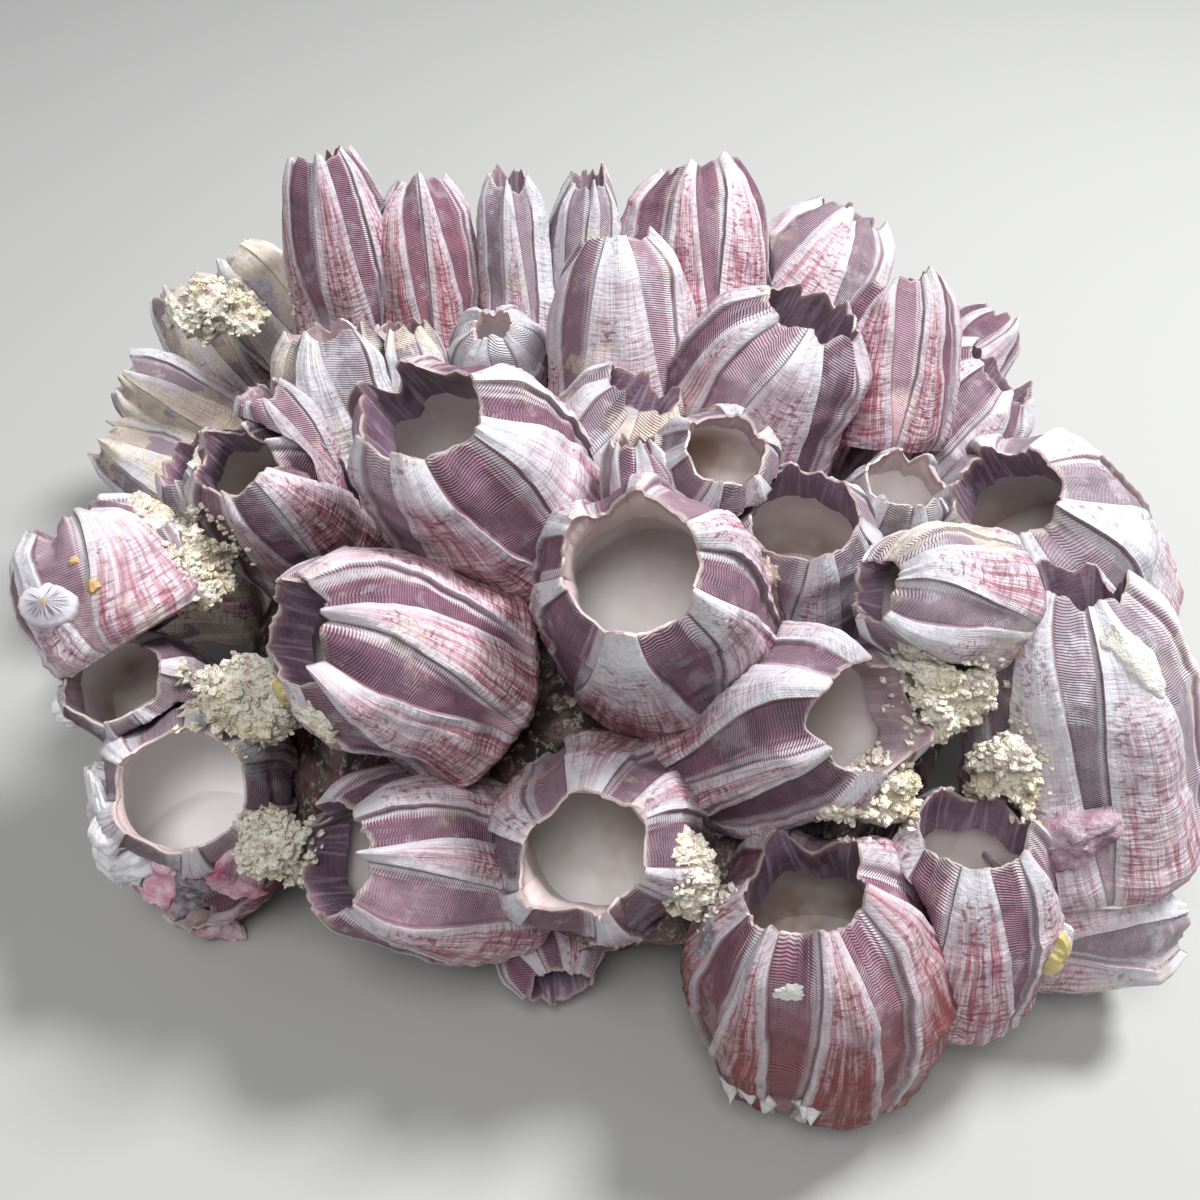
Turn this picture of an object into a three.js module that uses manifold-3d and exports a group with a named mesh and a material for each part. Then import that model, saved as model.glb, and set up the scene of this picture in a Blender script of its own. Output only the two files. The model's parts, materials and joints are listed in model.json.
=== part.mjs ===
// A cluster of giant purple barnacles: about fifty barrel-shaped shells that grew over one another
// on a mat of dried sponge, worm tubes and shell grit, broken off its rock along a flat scar.
// Millimetres, +Z up. The origin is the middle of the cluster's outline, on the surface it rests on.

import * as THREE from "three";
import { mergeVertices } from "three/addons/utils/BufferGeometryUtils.js";
import Module from "manifold-3d";

const solidLibrary = await Module();
solidLibrary.setup();

// ---------------------------------------------------------------- driving dimensions

const SIDES = 12; // six wall plates and the six narrow panels between them, one side each
const LOBE = 0.045; // a plate stands out, and the panel beside it stands in, by this share of the radius
const GAP = 0.35; // clearance between neighbouring pieces
const MAT_GAP = 0.6; // clearance between a shell and the mat it grew on
const FINEST = 0.05; // slivers that a cut leaves, thinner than this, are merged away

const RIM_WALL = 1.7; // wall thickness at the mouth
const BODY_WALL = 3.0; // wall thickness lower down
const FLOOR_SHARE = 0.6; // radius of the cavity's floor, as a share of the belly's
const LEAST_MOUTH_SHARE = 0.4; // a small mouth stays open by at least this share of its radius

// Heights of the rings as shares of a shell's length, and their radii as shares of its belly radius.
const BASE_RING = { height: 0, radius: 0.84 };
const BELLY_RING = { height: 0.4, radius: 1 };
const SHOULDER_RING = { height: 0.76, radius: 0.88 };
const THROAT_HEIGHT = 0.7; // where the cavity is widest
const FLOOR_HEIGHT = 0.26; // the solid base below the cavity ends here

const TIP_RISE = 0.022; // a plate's tip stands above the mouth's mean height, as a share of the length
const RIM_ROUGHNESS = 0.05; // and the rim wanders by this share
const RIM_SLANT = 0.08; // and it leans by up to this share
const OVALNESS = 0.12; // a shell is squeezed by up to this share
const BOW = 0.1; // and bows upwards in its middle by up to this share of its belly's radius

// ---------------------------------------------------------------- the shells

// One row is one shell: its name, the middle of its mouth, the way the mouth faces (compass angle from +X
// towards +Y, and degrees above level), the belly's radius, the length, and the mouth's radius as a share
// of the belly's. Older shells come first: a later one is cut back where it grew against an earlier one.
const SHELLS = [
  ["small_1", [-69, 22, 98], 150, 65, 8, 20, 0.6],
  ["small_2", [6, 2, 101], 120, 70, 8, 22, 0.6],
  ["small_3", [-24, 52, 94], -90, 74, 11, 20, 0.42],
  ["small_4", [-8, -65, 13], -80, -5, 12, 26, 0.6],
  ["small_5", [-91, -47, 15], -112, 10, 15, 26, 0.6],
  ["crown_1", [5, -37, 106], -112, 61, 22, 46, 0.56],
  ["crown_2", [-33, -3, 112], 216, 64, 22, 50, 0.54],
  ["crown_3", [47, -48, 80], -38, 44, 19, 44, 0.62],
  ["crown_4", [-54, -35, 88], 203, 44, 20, 43, 0.52],
  ["crown_5", [44, 36, 108], 5, 68, 20, 50, 0.5],
  ["crown_6", [3, 56, 112], 100, 66, 17, 48, 0.48],
  ["crown_7", [39, -8, 92], -100, 80, 17, 44, 0.66],
  ["crown_8", [-74, 7, 92], 240, 64, 17, 44, 0.5],
  ["crown_9", [24, 0, 101], -80, 62, 13, 28, 0.62],
  ["crown_10", [9, 24, 98], 20, 62, 13, 32, 0.6],
  ["front_1", [-3, -66, 63], -104, 50, 20, 42, 0.6],
  ["front_2", [36, -69, 58], 172, 80, 23.5, 54, 0.48],
  ["front_3", [68, -57, 59], 100, 78, 17.5, 44, 0.62],
  ["front_4", [-50, -58, 50], 206, 38, 19, 43, 0.62],
  ["front_5", [-81, -44, 52], -72, 56, 20, 40, 0.65],
  ["right_1", [90, -19, 84], 108, 63, 21.5, 58, 0.48],
  ["right_2", [83, 7, 84], 196, 60, 23, 46, 0.48],
  ["right_3", [94, 56, 78], 20, 50, 18, 44, 0.55],
  ["right_4", [67, 55, 104], 80, 60, 14, 36, 0.5],
  ["right_5", [63, 11, 84], -90, 80, 13, 34, 0.66],
  ["right_6", [49, -29, 92], 192, 22, 13, 26, 0.5],
  ["right_7", [103, 89, 72], 35, 40, 11, 26, 0.55],
  ["right_8", [116, -53, 24], -6, 6, 17, 34, 0.55],
  ["right_9", [120, 22, 22], 5, -8, 14, 34, 0.55],
  ["right_10", [118, 60, 34], 20, 0, 17, 38, 0.55],
  ["left_2", [-96, -26, 64], -98, 64, 14.5, 32, 0.7],
  ["left_1", [-108, 1, 82], 136, 42, 17.5, 28, 0.5],
  ["left_3", [-116, 112, 66], 140, 42, 14, 40, 0.55],
  ["left_4", [-123, 81, 60], 170, 40, 13, 36, 0.55],
  ["left_5", [-125, 61, 54], 172, 35, 12, 34, 0.55],
  ["left_6", [-94, 98, 84], 155, 48, 12, 34, 0.55],
  ["left_7", [-92, 27, 76], 180, 60, 11, 30, 0.55],
  ["left_8", [-122, 36, 26], 185, -2, 15, 36, 0.55],
  ["left_9", [-112, 100, 18], 150, -5, 13, 32, 0.55],
  ["back_1", [25, 105, 104], 85, 54, 19, 50, 0.5],
  ["back_2", [-44, 97, 104], 96, 60, 13, 46, 0.5],
  ["back_3", [-66, 94, 112], 110, 72, 14, 50, 0.58],
  ["back_4", [-3, 100, 104], 85, 60, 10, 46, 0.5],
  ["back_5", [-22, 99, 105], 98, 60, 10, 46, 0.5],
  ["back_6", [64, 106, 92], 48, 44, 18, 44, 0.5],
  ["back_7", [-60, 44, 98], 110, 68, 15.5, 44, 0.55],
  ["back_8", [92, 118, 44], 50, 8, 18, 40, 0.55],
  ["back_9", [36, 136, 56], 80, 14, 19, 42, 0.55],
  ["back_10", [-18, 136, 44], 98, 4, 18, 40, 0.55],
  ["back_11", [-66, 128, 56], 112, 16, 17, 40, 0.55],
  ["back_12", [-44, 50, 96], 95, 64, 11, 40, 0.5],
];

// ---------------------------------------------------------------- the mat and its patches

// The mat that the shells grew on is a low bun with a flat scar underneath.
const MAT = {
  middle: [0, 22],
  across: 88,
  deep: 86,
  height: 62,
  scar: 0.8,
  widest: 0.34,
  bands: [30, 60],
  sides: 20,
};

// Crumbly cream patches that fill the gaps near the surface: name, middle, and half sizes along X, Y and Z.
const PATCHES = [
  ["patch_1", [-69, -29, 60], [10, 9, 9]],
  ["patch_2", [-63, -52, 42], [7, 6, 11]],
  ["patch_3", [17, -64, 50], [6, 6, 10]],
  ["patch_4", [47, -52, 63], [11, 7, 7]],
  ["patch_5", [62, -37, 74], [9, 9, 13]],
  ["patch_6", [76, -47, 60], [8, 7, 9]],
  ["patch_7", [-82, -2, 72], [8, 10, 10]],
  ["patch_8", [-91, 73, 84], [10, 10, 10]],
];
const PATCH_ROUGHNESS = 0.22; // a patch's surface wanders by this share of its size

// ---------------------------------------------------------------- colours

const COLOURS = {
  plum: { color: 0xa37a8b, roughness: 0.55 },
  rose: { color: 0xc39aa2, roughness: 0.55 },
  bleached: { color: 0xd8d2cc, roughness: 0.6 },
  mat: { color: 0xcfc4a2, roughness: 0.95 },
};
const BLEACHED_SHELLS = ["right_5", "small_3", "back_7", "left_4", "left_5"];
const ROSE_SHELLS = ["front_2", "back_1", "back_2", "back_6", "left_1", "left_3", "crown_6", "right_3", "small_4"];

function material(colour) {
  return new THREE.MeshStandardMaterial({ ...COLOURS[colour], metalness: 0 });
}

function shellColour(name) {
  if (BLEACHED_SHELLS.includes(name)) return "bleached";
  return ROSE_SHELLS.includes(name) ? "rose" : "plum";
}

// ---------------------------------------------------------------- helpers

const degrees = THREE.MathUtils.degToRad;

// A repeatable number from 0 to 1 for a shell and a purpose.
function chance(seed, purpose) {
  const wave = Math.sin(seed * 127.1 + purpose * 311.7) * 43758.5453;
  return wave - Math.floor(wave);
}

// A closed surface through rings of points: `rings` run from one cap to the other, and each cap is a fan.
function surfaceThroughRings(rings) {
  const points = rings.flat();
  const triangles = [];
  for (let ring = 0; ring + 1 < rings.length; ring++) {
    for (let side = 0; side < SIDES; side++) {
      const next = (side + 1) % SIDES;
      const [a, b] = [ring * SIDES + side, ring * SIDES + next];
      const [c, d] = [a + SIDES, b + SIDES];
      triangles.push(a, b, d, a, d, c);
    }
  }
  const last = (rings.length - 1) * SIDES;
  for (let side = 1; side + 1 < SIDES; side++) {
    triangles.push(0, side + 1, side);
    triangles.push(last, last + side, last + side + 1);
  }
  const geometry = new THREE.BufferGeometry().setFromPoints(points);
  geometry.setIndex(triangles);
  return geometry;
}

// A closed geometry as a solid that can be cut, after its shared vertices are merged.
function toSolid(geometry) {
  const bare = geometry.clone();
  bare.deleteAttribute("normal");
  bare.deleteAttribute("uv");
  const merged = mergeVertices(bare, 1e-4);
  return new solidLibrary.Manifold(
    new solidLibrary.Mesh({
      numProp: 3,
      vertProperties: merged.attributes.position.array,
      triVerts: new Uint32Array(merged.index.array),
    }),
  );
}

// A solid as a geometry, keeping its largest piece where a cut left crumbs.
function toGeometry(solid) {
  const largest = solid.simplify(FINEST).decompose().reduce((a, b) => (a.volume() > b.volume() ? a : b));
  const mesh = largest.getMesh();
  const positions = new Float32Array(mesh.numVert * 3);
  for (let i = 0; i < mesh.numVert; i++) {
    positions.set(mesh.vertProperties.subarray(i * mesh.numProp, i * mesh.numProp + 3), i * 3);
  }
  const geometry = new THREE.BufferGeometry();
  geometry.setAttribute("position", new THREE.BufferAttribute(positions, 3));
  geometry.setIndex(new THREE.BufferAttribute(mesh.triVerts, 1));
  geometry.computeVertexNormals();
  return geometry;
}

// ---------------------------------------------------------------- one shell

// Turns a row of the list into what its surfaces need. The shell's own frame has the middle of its base at
// the origin, its axis along +Z, and +Y on the side that faces up in the cluster.
function describeShell([name, mouth, compass, lift, belly, length, mouthShare], index) {
  const axis = new THREE.Vector3(
    Math.cos(degrees(lift)) * Math.cos(degrees(compass)),
    Math.cos(degrees(lift)) * Math.sin(degrees(compass)),
    Math.sin(degrees(lift)),
  );
  const sideways = new THREE.Vector3(0, 0, 1).cross(axis).normalize();
  const upwards = new THREE.Vector3().crossVectors(axis, sideways);
  const place = new THREE.Matrix4().makeBasis(sideways, upwards, axis);
  place.setPosition(new THREE.Vector3(...mouth).addScaledVector(axis, -length));
  const seed = index + 1;
  return {
    name,
    place,
    belly,
    length,
    seed,
    mouth: belly * mouthShare,
    turn: chance(seed, 1) * 2 * Math.PI,
    oval: 1 - OVALNESS * chance(seed, 2),
    bow: belly * BOW * (0.4 + 0.6 * chance(seed, 3)),
    slant: length * RIM_SLANT * (2 * chance(seed, 4) - 1),
    slantTurn: chance(seed, 5) * 2 * Math.PI,
  };
}

// The twelve points of a ring. `height` is a share of the length, and `rises` lifts each point.
function ring(shell, height, radius, rises = null, offset = 0) {
  const bow = shell.bow * Math.sin(Math.PI * height);
  return Array.from({ length: SIDES }, (_, side) => {
    const angle = shell.turn + (side * 2 * Math.PI) / SIDES;
    const lobe = side % 2 ? 1 - LOBE : 1 + LOBE;
    return new THREE.Vector3(
      radius * lobe * Math.cos(angle),
      radius * lobe * shell.oval * Math.sin(angle) + bow,
      shell.length * height + (rises ? rises[side] : 0) + offset,
    );
  });
}

// How far each point of the rim stands above the mouth's mean height.
function rimRises(shell) {
  return Array.from({ length: SIDES }, (_, side) => {
    const angle = shell.turn + (side * 2 * Math.PI) / SIDES;
    const tip = side % 2 ? -TIP_RISE : TIP_RISE;
    const wander = (chance(shell.seed, 10 + side) - 0.5) * RIM_ROUGHNESS;
    return (tip + wander) * shell.length + shell.slant * Math.cos(angle - shell.slantTurn);
  });
}

// The rings of the outer surface, from the base up to the rim, pushed out by a clearance.
function outerRings(shell, gap = 0) {
  return [
    ring(shell, BASE_RING.height, shell.belly * BASE_RING.radius + gap, null, -gap),
    ring(shell, BELLY_RING.height, shell.belly * BELLY_RING.radius + gap),
    ring(shell, SHOULDER_RING.height, shell.belly * SHOULDER_RING.radius + gap),
    ring(shell, 1, shell.mouth + gap, rimRises(shell), gap),
  ];
}

// The rings of the cavity, from the rim down to its floor.
function innerRings(shell) {
  const throat = shell.belly * SHOULDER_RING.radius - BODY_WALL;
  const floor = shell.belly * FLOOR_SHARE;
  return [
    ring(shell, 1, Math.max(shell.mouth - RIM_WALL, LEAST_MOUTH_SHARE * shell.mouth), rimRises(shell)),
    ring(shell, THROAT_HEIGHT, throat),
    ring(shell, FLOOR_HEIGHT, floor),
  ];
}

// The space a shell takes, its cavity filled, with a clearance all round.
function shellSpace(shell, gap) {
  const points = outerRings(shell, gap).flat();
  return solidLibrary.Manifold.hull(points.map((point) => point.applyMatrix4(shell.place).toArray()));
}

// ---------------------------------------------------------------- cutting

const GROUND_WIDTH = 600;
const GROUND_DEPTH = 100;
const BELOW_GROUND = solidLibrary.Manifold.cube([GROUND_WIDTH, GROUND_WIDTH, GROUND_DEPTH], true).translate([
  0,
  0,
  -GROUND_DEPTH / 2,
]);

// Cuts a piece, given in its own frame, by spaces given in the cluster's frame.
function cutBy(geometry, place, spaces) {
  const inverse = place.clone().invert();
  const solid = [BELOW_GROUND, ...spaces].reduce(
    (rest, space) => rest.subtract(space.transform(inverse.elements)),
    toSolid(geometry),
  );
  return toGeometry(solid);
}

function pieceMesh(name, geometry, place, colour) {
  const mesh = new THREE.Mesh(geometry, material(colour));
  mesh.name = name;
  place.decompose(mesh.position, mesh.quaternion, mesh.scale);
  return mesh;
}

// ---------------------------------------------------------------- the cluster

const cluster = new THREE.Group();
const shells = SHELLS.map(describeShell);
const spaces = shells.map((shell) => shellSpace(shell, GAP));

shells.forEach((shell, index) => {
  const cup = surfaceThroughRings([...outerRings(shell), ...innerRings(shell)]);
  const geometry = cutBy(cup, shell.place, spaces.slice(0, index));
  cluster.add(pieceMesh(`shell_${shell.name}`, geometry, shell.place, shellColour(shell.name)));
});

// The mat's outline runs from the middle of its scar out to its widest, and over the top to its axis.
function matGeometry() {
  const outline = [
    new THREE.Vector2(0, 0),
    new THREE.Vector2(MAT.scar, 0),
    new THREE.Vector2(1, MAT.widest * MAT.height),
  ];
  for (const angle of MAT.bands) {
    const rise = THREE.MathUtils.lerp(MAT.widest, 1, Math.sin(degrees(angle)));
    outline.push(new THREE.Vector2(Math.cos(degrees(angle)), rise * MAT.height));
  }
  outline.push(new THREE.Vector2(0, MAT.height));
  const geometry = new THREE.LatheGeometry(outline, MAT.sides);
  geometry.scale(MAT.across, 1, MAT.deep);
  geometry.rotateX(Math.PI / 2);
  return geometry;
}

// A patch is a rough lump; the mat and the shells beside it are cut out of it.
function patchGeometry(sizes, seed) {
  const lump = new THREE.IcosahedronGeometry(1, 1);
  lump.deleteAttribute("normal");
  lump.deleteAttribute("uv");
  const geometry = mergeVertices(lump, 1e-4);
  const points = geometry.attributes.position;
  for (let i = 0; i < points.count; i++) {
    const reach = 1 + PATCH_ROUGHNESS * (2 * chance(seed, i) - 1);
    points.setXYZ(i, points.getX(i) * reach, points.getY(i) * reach, points.getZ(i) * reach);
  }
  geometry.scale(...sizes);
  return geometry;
}

const matSpaces = shells.map((shell) => shellSpace(shell, MAT_GAP));
const matPlace = new THREE.Matrix4().makeTranslation(MAT.middle[0], MAT.middle[1], 0);
cluster.add(pieceMesh("sponge_mat", cutBy(matGeometry(), matPlace, matSpaces), matPlace, "mat"));

const matSolid = toSolid(matGeometry()).translate([MAT.middle[0], MAT.middle[1], GAP]);
PATCHES.forEach(([name, middle, sizes], index) => {
  const place = new THREE.Matrix4().makeTranslation(...middle);
  const geometry = cutBy(patchGeometry(sizes, 100 + index), place, [matSolid, ...spaces]);
  cluster.add(pieceMesh(`crust_${name}`, geometry, place, "mat"));
});

// The middle of the outline comes to the origin.
const middle = new THREE.Box3().setFromObject(cluster, true).getCenter(new THREE.Vector3());
cluster.position.set(-middle.x, -middle.y, 0);

export default cluster;
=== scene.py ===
# %% [markdown]
# # A cluster of giant purple barnacles
# A barnacle shell is a barrel of six wall plates with an open mouth at the top. Between each two plates
# lies a radius, a sunken purple panel with fine cross ridges. When many barnacles settle on one another
# they make a mound. Here each shell is built as its own fine mesh, in the place where the frame has its
# plain solid, and painted with materials that know which panel they are on.

import json
import math

import bmesh
import bpy
import numpy as np
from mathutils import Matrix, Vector


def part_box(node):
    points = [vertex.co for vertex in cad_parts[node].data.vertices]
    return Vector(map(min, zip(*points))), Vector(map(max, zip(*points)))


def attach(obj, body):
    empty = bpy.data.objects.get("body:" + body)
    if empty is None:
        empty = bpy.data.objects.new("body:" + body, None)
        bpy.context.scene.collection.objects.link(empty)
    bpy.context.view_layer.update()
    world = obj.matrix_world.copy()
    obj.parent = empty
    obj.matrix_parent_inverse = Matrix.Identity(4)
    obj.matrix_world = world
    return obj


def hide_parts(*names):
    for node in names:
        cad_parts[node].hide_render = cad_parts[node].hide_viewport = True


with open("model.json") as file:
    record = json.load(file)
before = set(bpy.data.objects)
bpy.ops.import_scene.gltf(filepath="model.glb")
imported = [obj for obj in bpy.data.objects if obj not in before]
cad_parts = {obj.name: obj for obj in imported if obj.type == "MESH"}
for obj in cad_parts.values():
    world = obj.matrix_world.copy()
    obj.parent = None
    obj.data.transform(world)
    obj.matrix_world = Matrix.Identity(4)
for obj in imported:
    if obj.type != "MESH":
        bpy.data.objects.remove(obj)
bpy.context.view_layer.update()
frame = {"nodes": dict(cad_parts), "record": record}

# %% [markdown]
# ## The camera
# The viewer stands close in front of the mound and looks down on it at 46 degrees, with a wide phone
# lens. A near viewpoint makes the front shells look much larger than the ones at the back, so the
# distance matters as much as the angle.

# %% Camera
CAMERA_PLACE = (0.0031, -0.2065, 0.2490)
CAMERA_PITCH = 46
LENS = 36.9

camera_data = bpy.data.cameras.new("camera")
camera_data.lens = LENS
camera_data.sensor_width = 36
camera_data.clip_start = 0.01
camera = bpy.data.objects.new("camera", camera_data)
camera.location = CAMERA_PLACE
camera.rotation_euler = (math.radians(90 - CAMERA_PITCH), 0, 0)
bpy.context.scene.collection.objects.link(camera)
bpy.context.scene.camera = camera
bpy.context.scene.view_settings.view_transform = "Standard"

# %% [markdown]
# ## Repeatable unevenness
# Nothing that grew is even. Two helpers give unevenness that is the same on every run: `chance` turns
# a seed into one number, and `wander` is smooth noise in space, made from random values at the corners
# of a grid and blended between them.

# %% Chance and wander


def chance(*seed):
    wave = math.sin(sum(s * k for s, k in zip(seed, (127.1, 311.7, 74.7)))) * 43758.5453
    return wave - math.floor(wave)


def between(low, high, *seed):
    return low + (high - low) * chance(*seed)


def corner_value(cell, seed):
    x, y, z = (cell[..., i].astype(np.int64) for i in range(3))
    mixed = (x * 73856093) ^ (y * 19349663) ^ (z * 83492791) ^ (int(seed) * 40503 + 977)
    mixed = ((mixed ^ (mixed >> 13)) * 1274126177) & 0x7FFFFFFF
    mixed = ((mixed ^ (mixed >> 15)) * 2246822519) & 0x7FFFFFFF
    return mixed / 0x7FFFFFFF * 2 - 1


def wander(points, size, seed=0):
    """Smooth noise from -1 to 1 at points (any shape, last axis 3), with features about `size` wide."""
    where = np.asarray(points, float) / size
    cell = np.floor(where)
    part = where - cell
    part = part * part * (3 - 2 * part)
    total = np.zeros(where.shape[:-1])
    for corner in np.ndindex(2, 2, 2):
        weight = np.prod([part[..., i] if corner[i] else 1 - part[..., i] for i in range(3)], axis=0)
        total += weight * corner_value(cell + corner, seed)
    return total


def smooth(value, low, high):
    share = np.clip((value - low) / (high - low), 0, 1)
    return share * share * (3 - 2 * share)


print("wander:", wander(np.array([[0.5, 0.2, 0.1], [3.1, 2.0, 7.7]]), 1.0).round(3))

# %% [markdown]
# ## Reading a shell back from its solid
# The frame's solids carry no names for their parts, but a shell's shape gives them away. Its cavity's
# floor and its base are two flat faces that look in opposite directions: they give the axis, the foot
# and the length. Its corners lie in rings at known heights: a small least-squares fit through them
# gives the middle, the radius, how oval it is, and where its plates stand.

# %% What the solids are made to
SIDES = 12
FLOOR_HEIGHT = 0.26
RINGS = [(0.0, 0.84, 0.0), (0.4, 1.0, 0.0), (0.76, 0.88, 0.0), (0.7, 0.88, -3.0), (0.26, 0.6, 0.0)]
USUAL_BELLY = 0.42  # the belly's radius as a share of the length, to start the fit from
USUAL_OVAL = 0.94
OVAL_PULL = 3.0  # how firmly the fit holds to the usual ovalness
OUTLIER_SHARE = 0.06  # corners that miss their ring by more than this share of the radius hardly count
FIT_STEPS = 25


def triangles_of(node):
    mesh = frame["nodes"][node].data
    mesh.calc_loop_triangles()
    corners = np.array([v.co for v in mesh.vertices]) * 1000
    return corners[np.array([t.vertices for t in mesh.loop_triangles])]


def widest_plane(distance, area):
    best = max(distance, key=lambda d: area[abs(distance - d) < 0.05].sum())
    return area[abs(distance - best) < 0.05].sum(), best


def find_axis(tri):
    """The shell's axis, and the distances along it of the cavity's floor and of the base."""
    cross = np.cross(tri[:, 1] - tri[:, 0], tri[:, 2] - tri[:, 0])
    area = np.linalg.norm(cross, axis=1) / 2
    tri, normal, area = tri[area > 1e-6], cross[area > 1e-6], area[area > 1e-6]
    normal = normal / (2 * area[:, None])
    best = (0, normal[0], 0, 0)
    for direction in normal[np.argsort(-area)]:
        facing = normal @ direction
        towards, away = facing > 0.99995, facing < -0.99995
        if not away.any():
            continue
        distance = (tri @ direction).mean(axis=1)
        area_up, up = widest_plane(distance[towards], area[towards])
        area_down, down = widest_plane(distance[away], area[away])
        if min(area_up, area_down) > best[0]:
            best = (min(area_up, area_down), direction, up, down)
    _, axis, floor, base = best
    reach = tri.reshape(-1, 3) @ axis
    if reach.max() - floor < base - reach.min():
        axis, floor, base = -axis, -base, -floor
    return axis, floor, base


def fit_rings(x, y, share, inset, length, start):
    """Fits middle, radius and ovalness to corners that lie on rings of known shares of the radius."""
    guess = np.array([*start, length * USUAL_BELLY, USUAL_OVAL])
    for _ in range(FIT_STEPS):
        cx, cy, radius, oval = guess
        reach = np.hypot(x - cx, (y - cy) / oval)
        miss = reach - (share * radius + inset)
        by_middle = [-(x - cx) / reach, -(y - cy) / oval**2 / reach]
        slope = np.stack([*by_middle, -share, -((y - cy) ** 2) / oval**3 / reach], axis=1)
        trust = 1 / (1 + (miss / (OUTLIER_SHARE * radius)) ** 4)
        weighted = slope * trust[:, None]
        pull = np.array([0, 0, 0, OVAL_PULL * (oval - USUAL_OVAL)])
        stiff = np.diag([1e-9, 1e-9, 1e-9, OVAL_PULL])
        step = np.linalg.solve(weighted.T @ slope + stiff, -(weighted.T @ miss) - pull)
        guess = guess + np.clip(step, [-4, -4, -3, -0.05], [4, 4, 3, 0.05])
    return guess


def read_shell(node):
    tri = triangles_of(node)
    axis, floor, base = find_axis(tri)
    length = (floor - base) / FLOOR_HEIGHT
    side = np.cross([0, 0, 1], axis)
    side = side / np.linalg.norm(side)
    up = np.cross(axis, side)
    corners = np.unique(tri.reshape(-1, 3).round(3), axis=0)
    height, x, y = corners @ axis - base, corners @ side, corners @ up
    on_ring = [abs(height - t * length) < 0.04 for t, _, _ in RINGS]
    ring_x = np.concatenate([x[m] for m in on_ring])
    ring_y = np.concatenate([y[m] for m in on_ring])
    share = np.concatenate([np.full(m.sum(), s) for m, (_, s, _) in zip(on_ring, RINGS)])
    inset = np.concatenate([np.full(m.sum(), i) for m, (_, _, i) in zip(on_ring, RINGS)])
    start = (x[on_ring[-1]].mean(), y[on_ring[-1]].mean())
    cx, cy, belly, oval = fit_rings(ring_x, ring_y, share, inset, length, start)
    angle = np.arctan2((ring_y - cy) / oval, ring_x - cx)
    reach = np.hypot(ring_x - cx, (ring_y - cy) / oval) / (share * belly + inset)
    sound = abs(reach - 1) < 0.09
    turn = np.angle(np.exp(12j * angle[sound]).sum()) / 12
    place = np.round((angle - turn) / (math.pi / 6)).astype(int)
    sound &= abs(angle - turn - place * math.pi / 6) < 0.03
    if reach[sound & (place % 2 == 1)].mean() > reach[sound & (place % 2 == 0)].mean():
        turn += math.pi / 6
    shell = dict(node=node, axis=axis, side=side, up=up, length=length, belly=belly, oval=oval, turn=turn)
    shell["foot"] = axis * base + side * cx + up * cy
    return read_rim(shell, height, x - cx, y - cy)


def read_rim(shell, height, x, y):
    """The rim's twelve tips: how high each stands, how wide the mouth is, and where its middle lies."""
    length, oval = shell["length"], shell["oval"]
    high = height > 0.86 * length
    angle = np.arctan2(y[high] / oval, x[high])
    reach = np.hypot(x[high], y[high] / oval)
    tips = np.full((SIDES, 3), np.nan)
    for k in range(SIDES):
        miss = np.angle(np.exp(1j * (angle - shell["turn"] - k * math.pi / 6)))
        near = abs(miss) < 0.2
        if near.any():
            best = np.argmax(np.where(near, reach, 0))
            tips[k] = (x[high][best], y[high][best], height[high][best] - length)
    found = ~np.isnan(tips[:, 0])
    shift = tips[found, :2].mean(axis=0) if found.sum() > 9 else np.zeros(2)
    lobe = np.where(np.arange(SIDES) % 2, 0.955, 1.045)
    widths = np.hypot(tips[:, 0] - shift[0], (tips[:, 1] - shift[1]) / oval) / lobe
    tips[~found, 2] = 0
    shell.update(mouth=float(np.median(widths[found])), mouth_shift=shift, rises=tips[:, 2])
    return shell


node_order = [s["node"] for s in frame["record"]["subparts"] if s["node"].startswith("shell_")]
shells = [read_shell(node) for node in node_order]
for number, shell in enumerate(shells):
    shell["seed"] = number + 1
print("shells:", len(shells), "lengths", sorted({round(s["length"]) for s in shells}), "mm")

# %% [markdown]
# ## The form of one shell
# Every surface of a shell is found from two numbers: an angle round the axis and a share of the length.
# The outline swells to a belly and closes in towards the mouth. `form_radius` is the plain outer form,
# before any detail, and is also what a crowded neighbour presses against.

# %% Outline
PROFILE_HEIGHTS = np.array([0.0, 0.18, 0.4, 0.6, 0.76, 0.9, 1.0])
LOBE = 0.012
FOOT_ROUNDING = 0.10
WIDE_FOOT = 1.08
FEET = {
    "shell_front_2": 0.82,
    "shell_front_3": 0.88,
    "shell_front_5": 0.92,
    "shell_small_3": 0.95,
    "shell_small_4": 0.85,
    "shell_small_5": 0.9,
    "shell_left_1": 0.98,
    "shell_left_2": 0.95,
}


def through(share, heights, values):
    """A smooth curve through the points (heights, values)."""
    slopes = np.gradient(values, heights)
    i = np.clip(np.searchsorted(heights, share, side="right") - 1, 0, len(heights) - 2)
    gap = heights[i + 1] - heights[i]
    s = np.clip((share - heights[i]) / gap, 0, 1)
    return (
        values[i] * (1 + 2 * s) * (1 - s) ** 2
        + slopes[i] * gap * s * (1 - s) ** 2
        + values[i + 1] * s * s * (3 - 2 * s)
        + slopes[i + 1] * gap * s * s * (s - 1)
    )


def form_radius(shell, share, angle):
    mouth = shell["mouth"] / shell["belly"]
    foot = FEET.get(shell["node"], WIDE_FOOT)
    values = np.array([foot, 0.5 * (foot + 1.0) + 0.02, 1.02, 0.99, 0.91, 0.5 * (0.91 + mouth) + 0.05, mouth])
    lobes = 1 + LOBE * np.cos(6 * (angle - shell["turn"]))
    rounding = 1 - FOOT_ROUNDING * np.exp(-((np.clip(share, 0, 1) / 0.045) ** 2))
    return shell["belly"] * through(np.clip(share, 0, 1), PROFILE_HEIGHTS, values) * lobes * rounding


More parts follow.
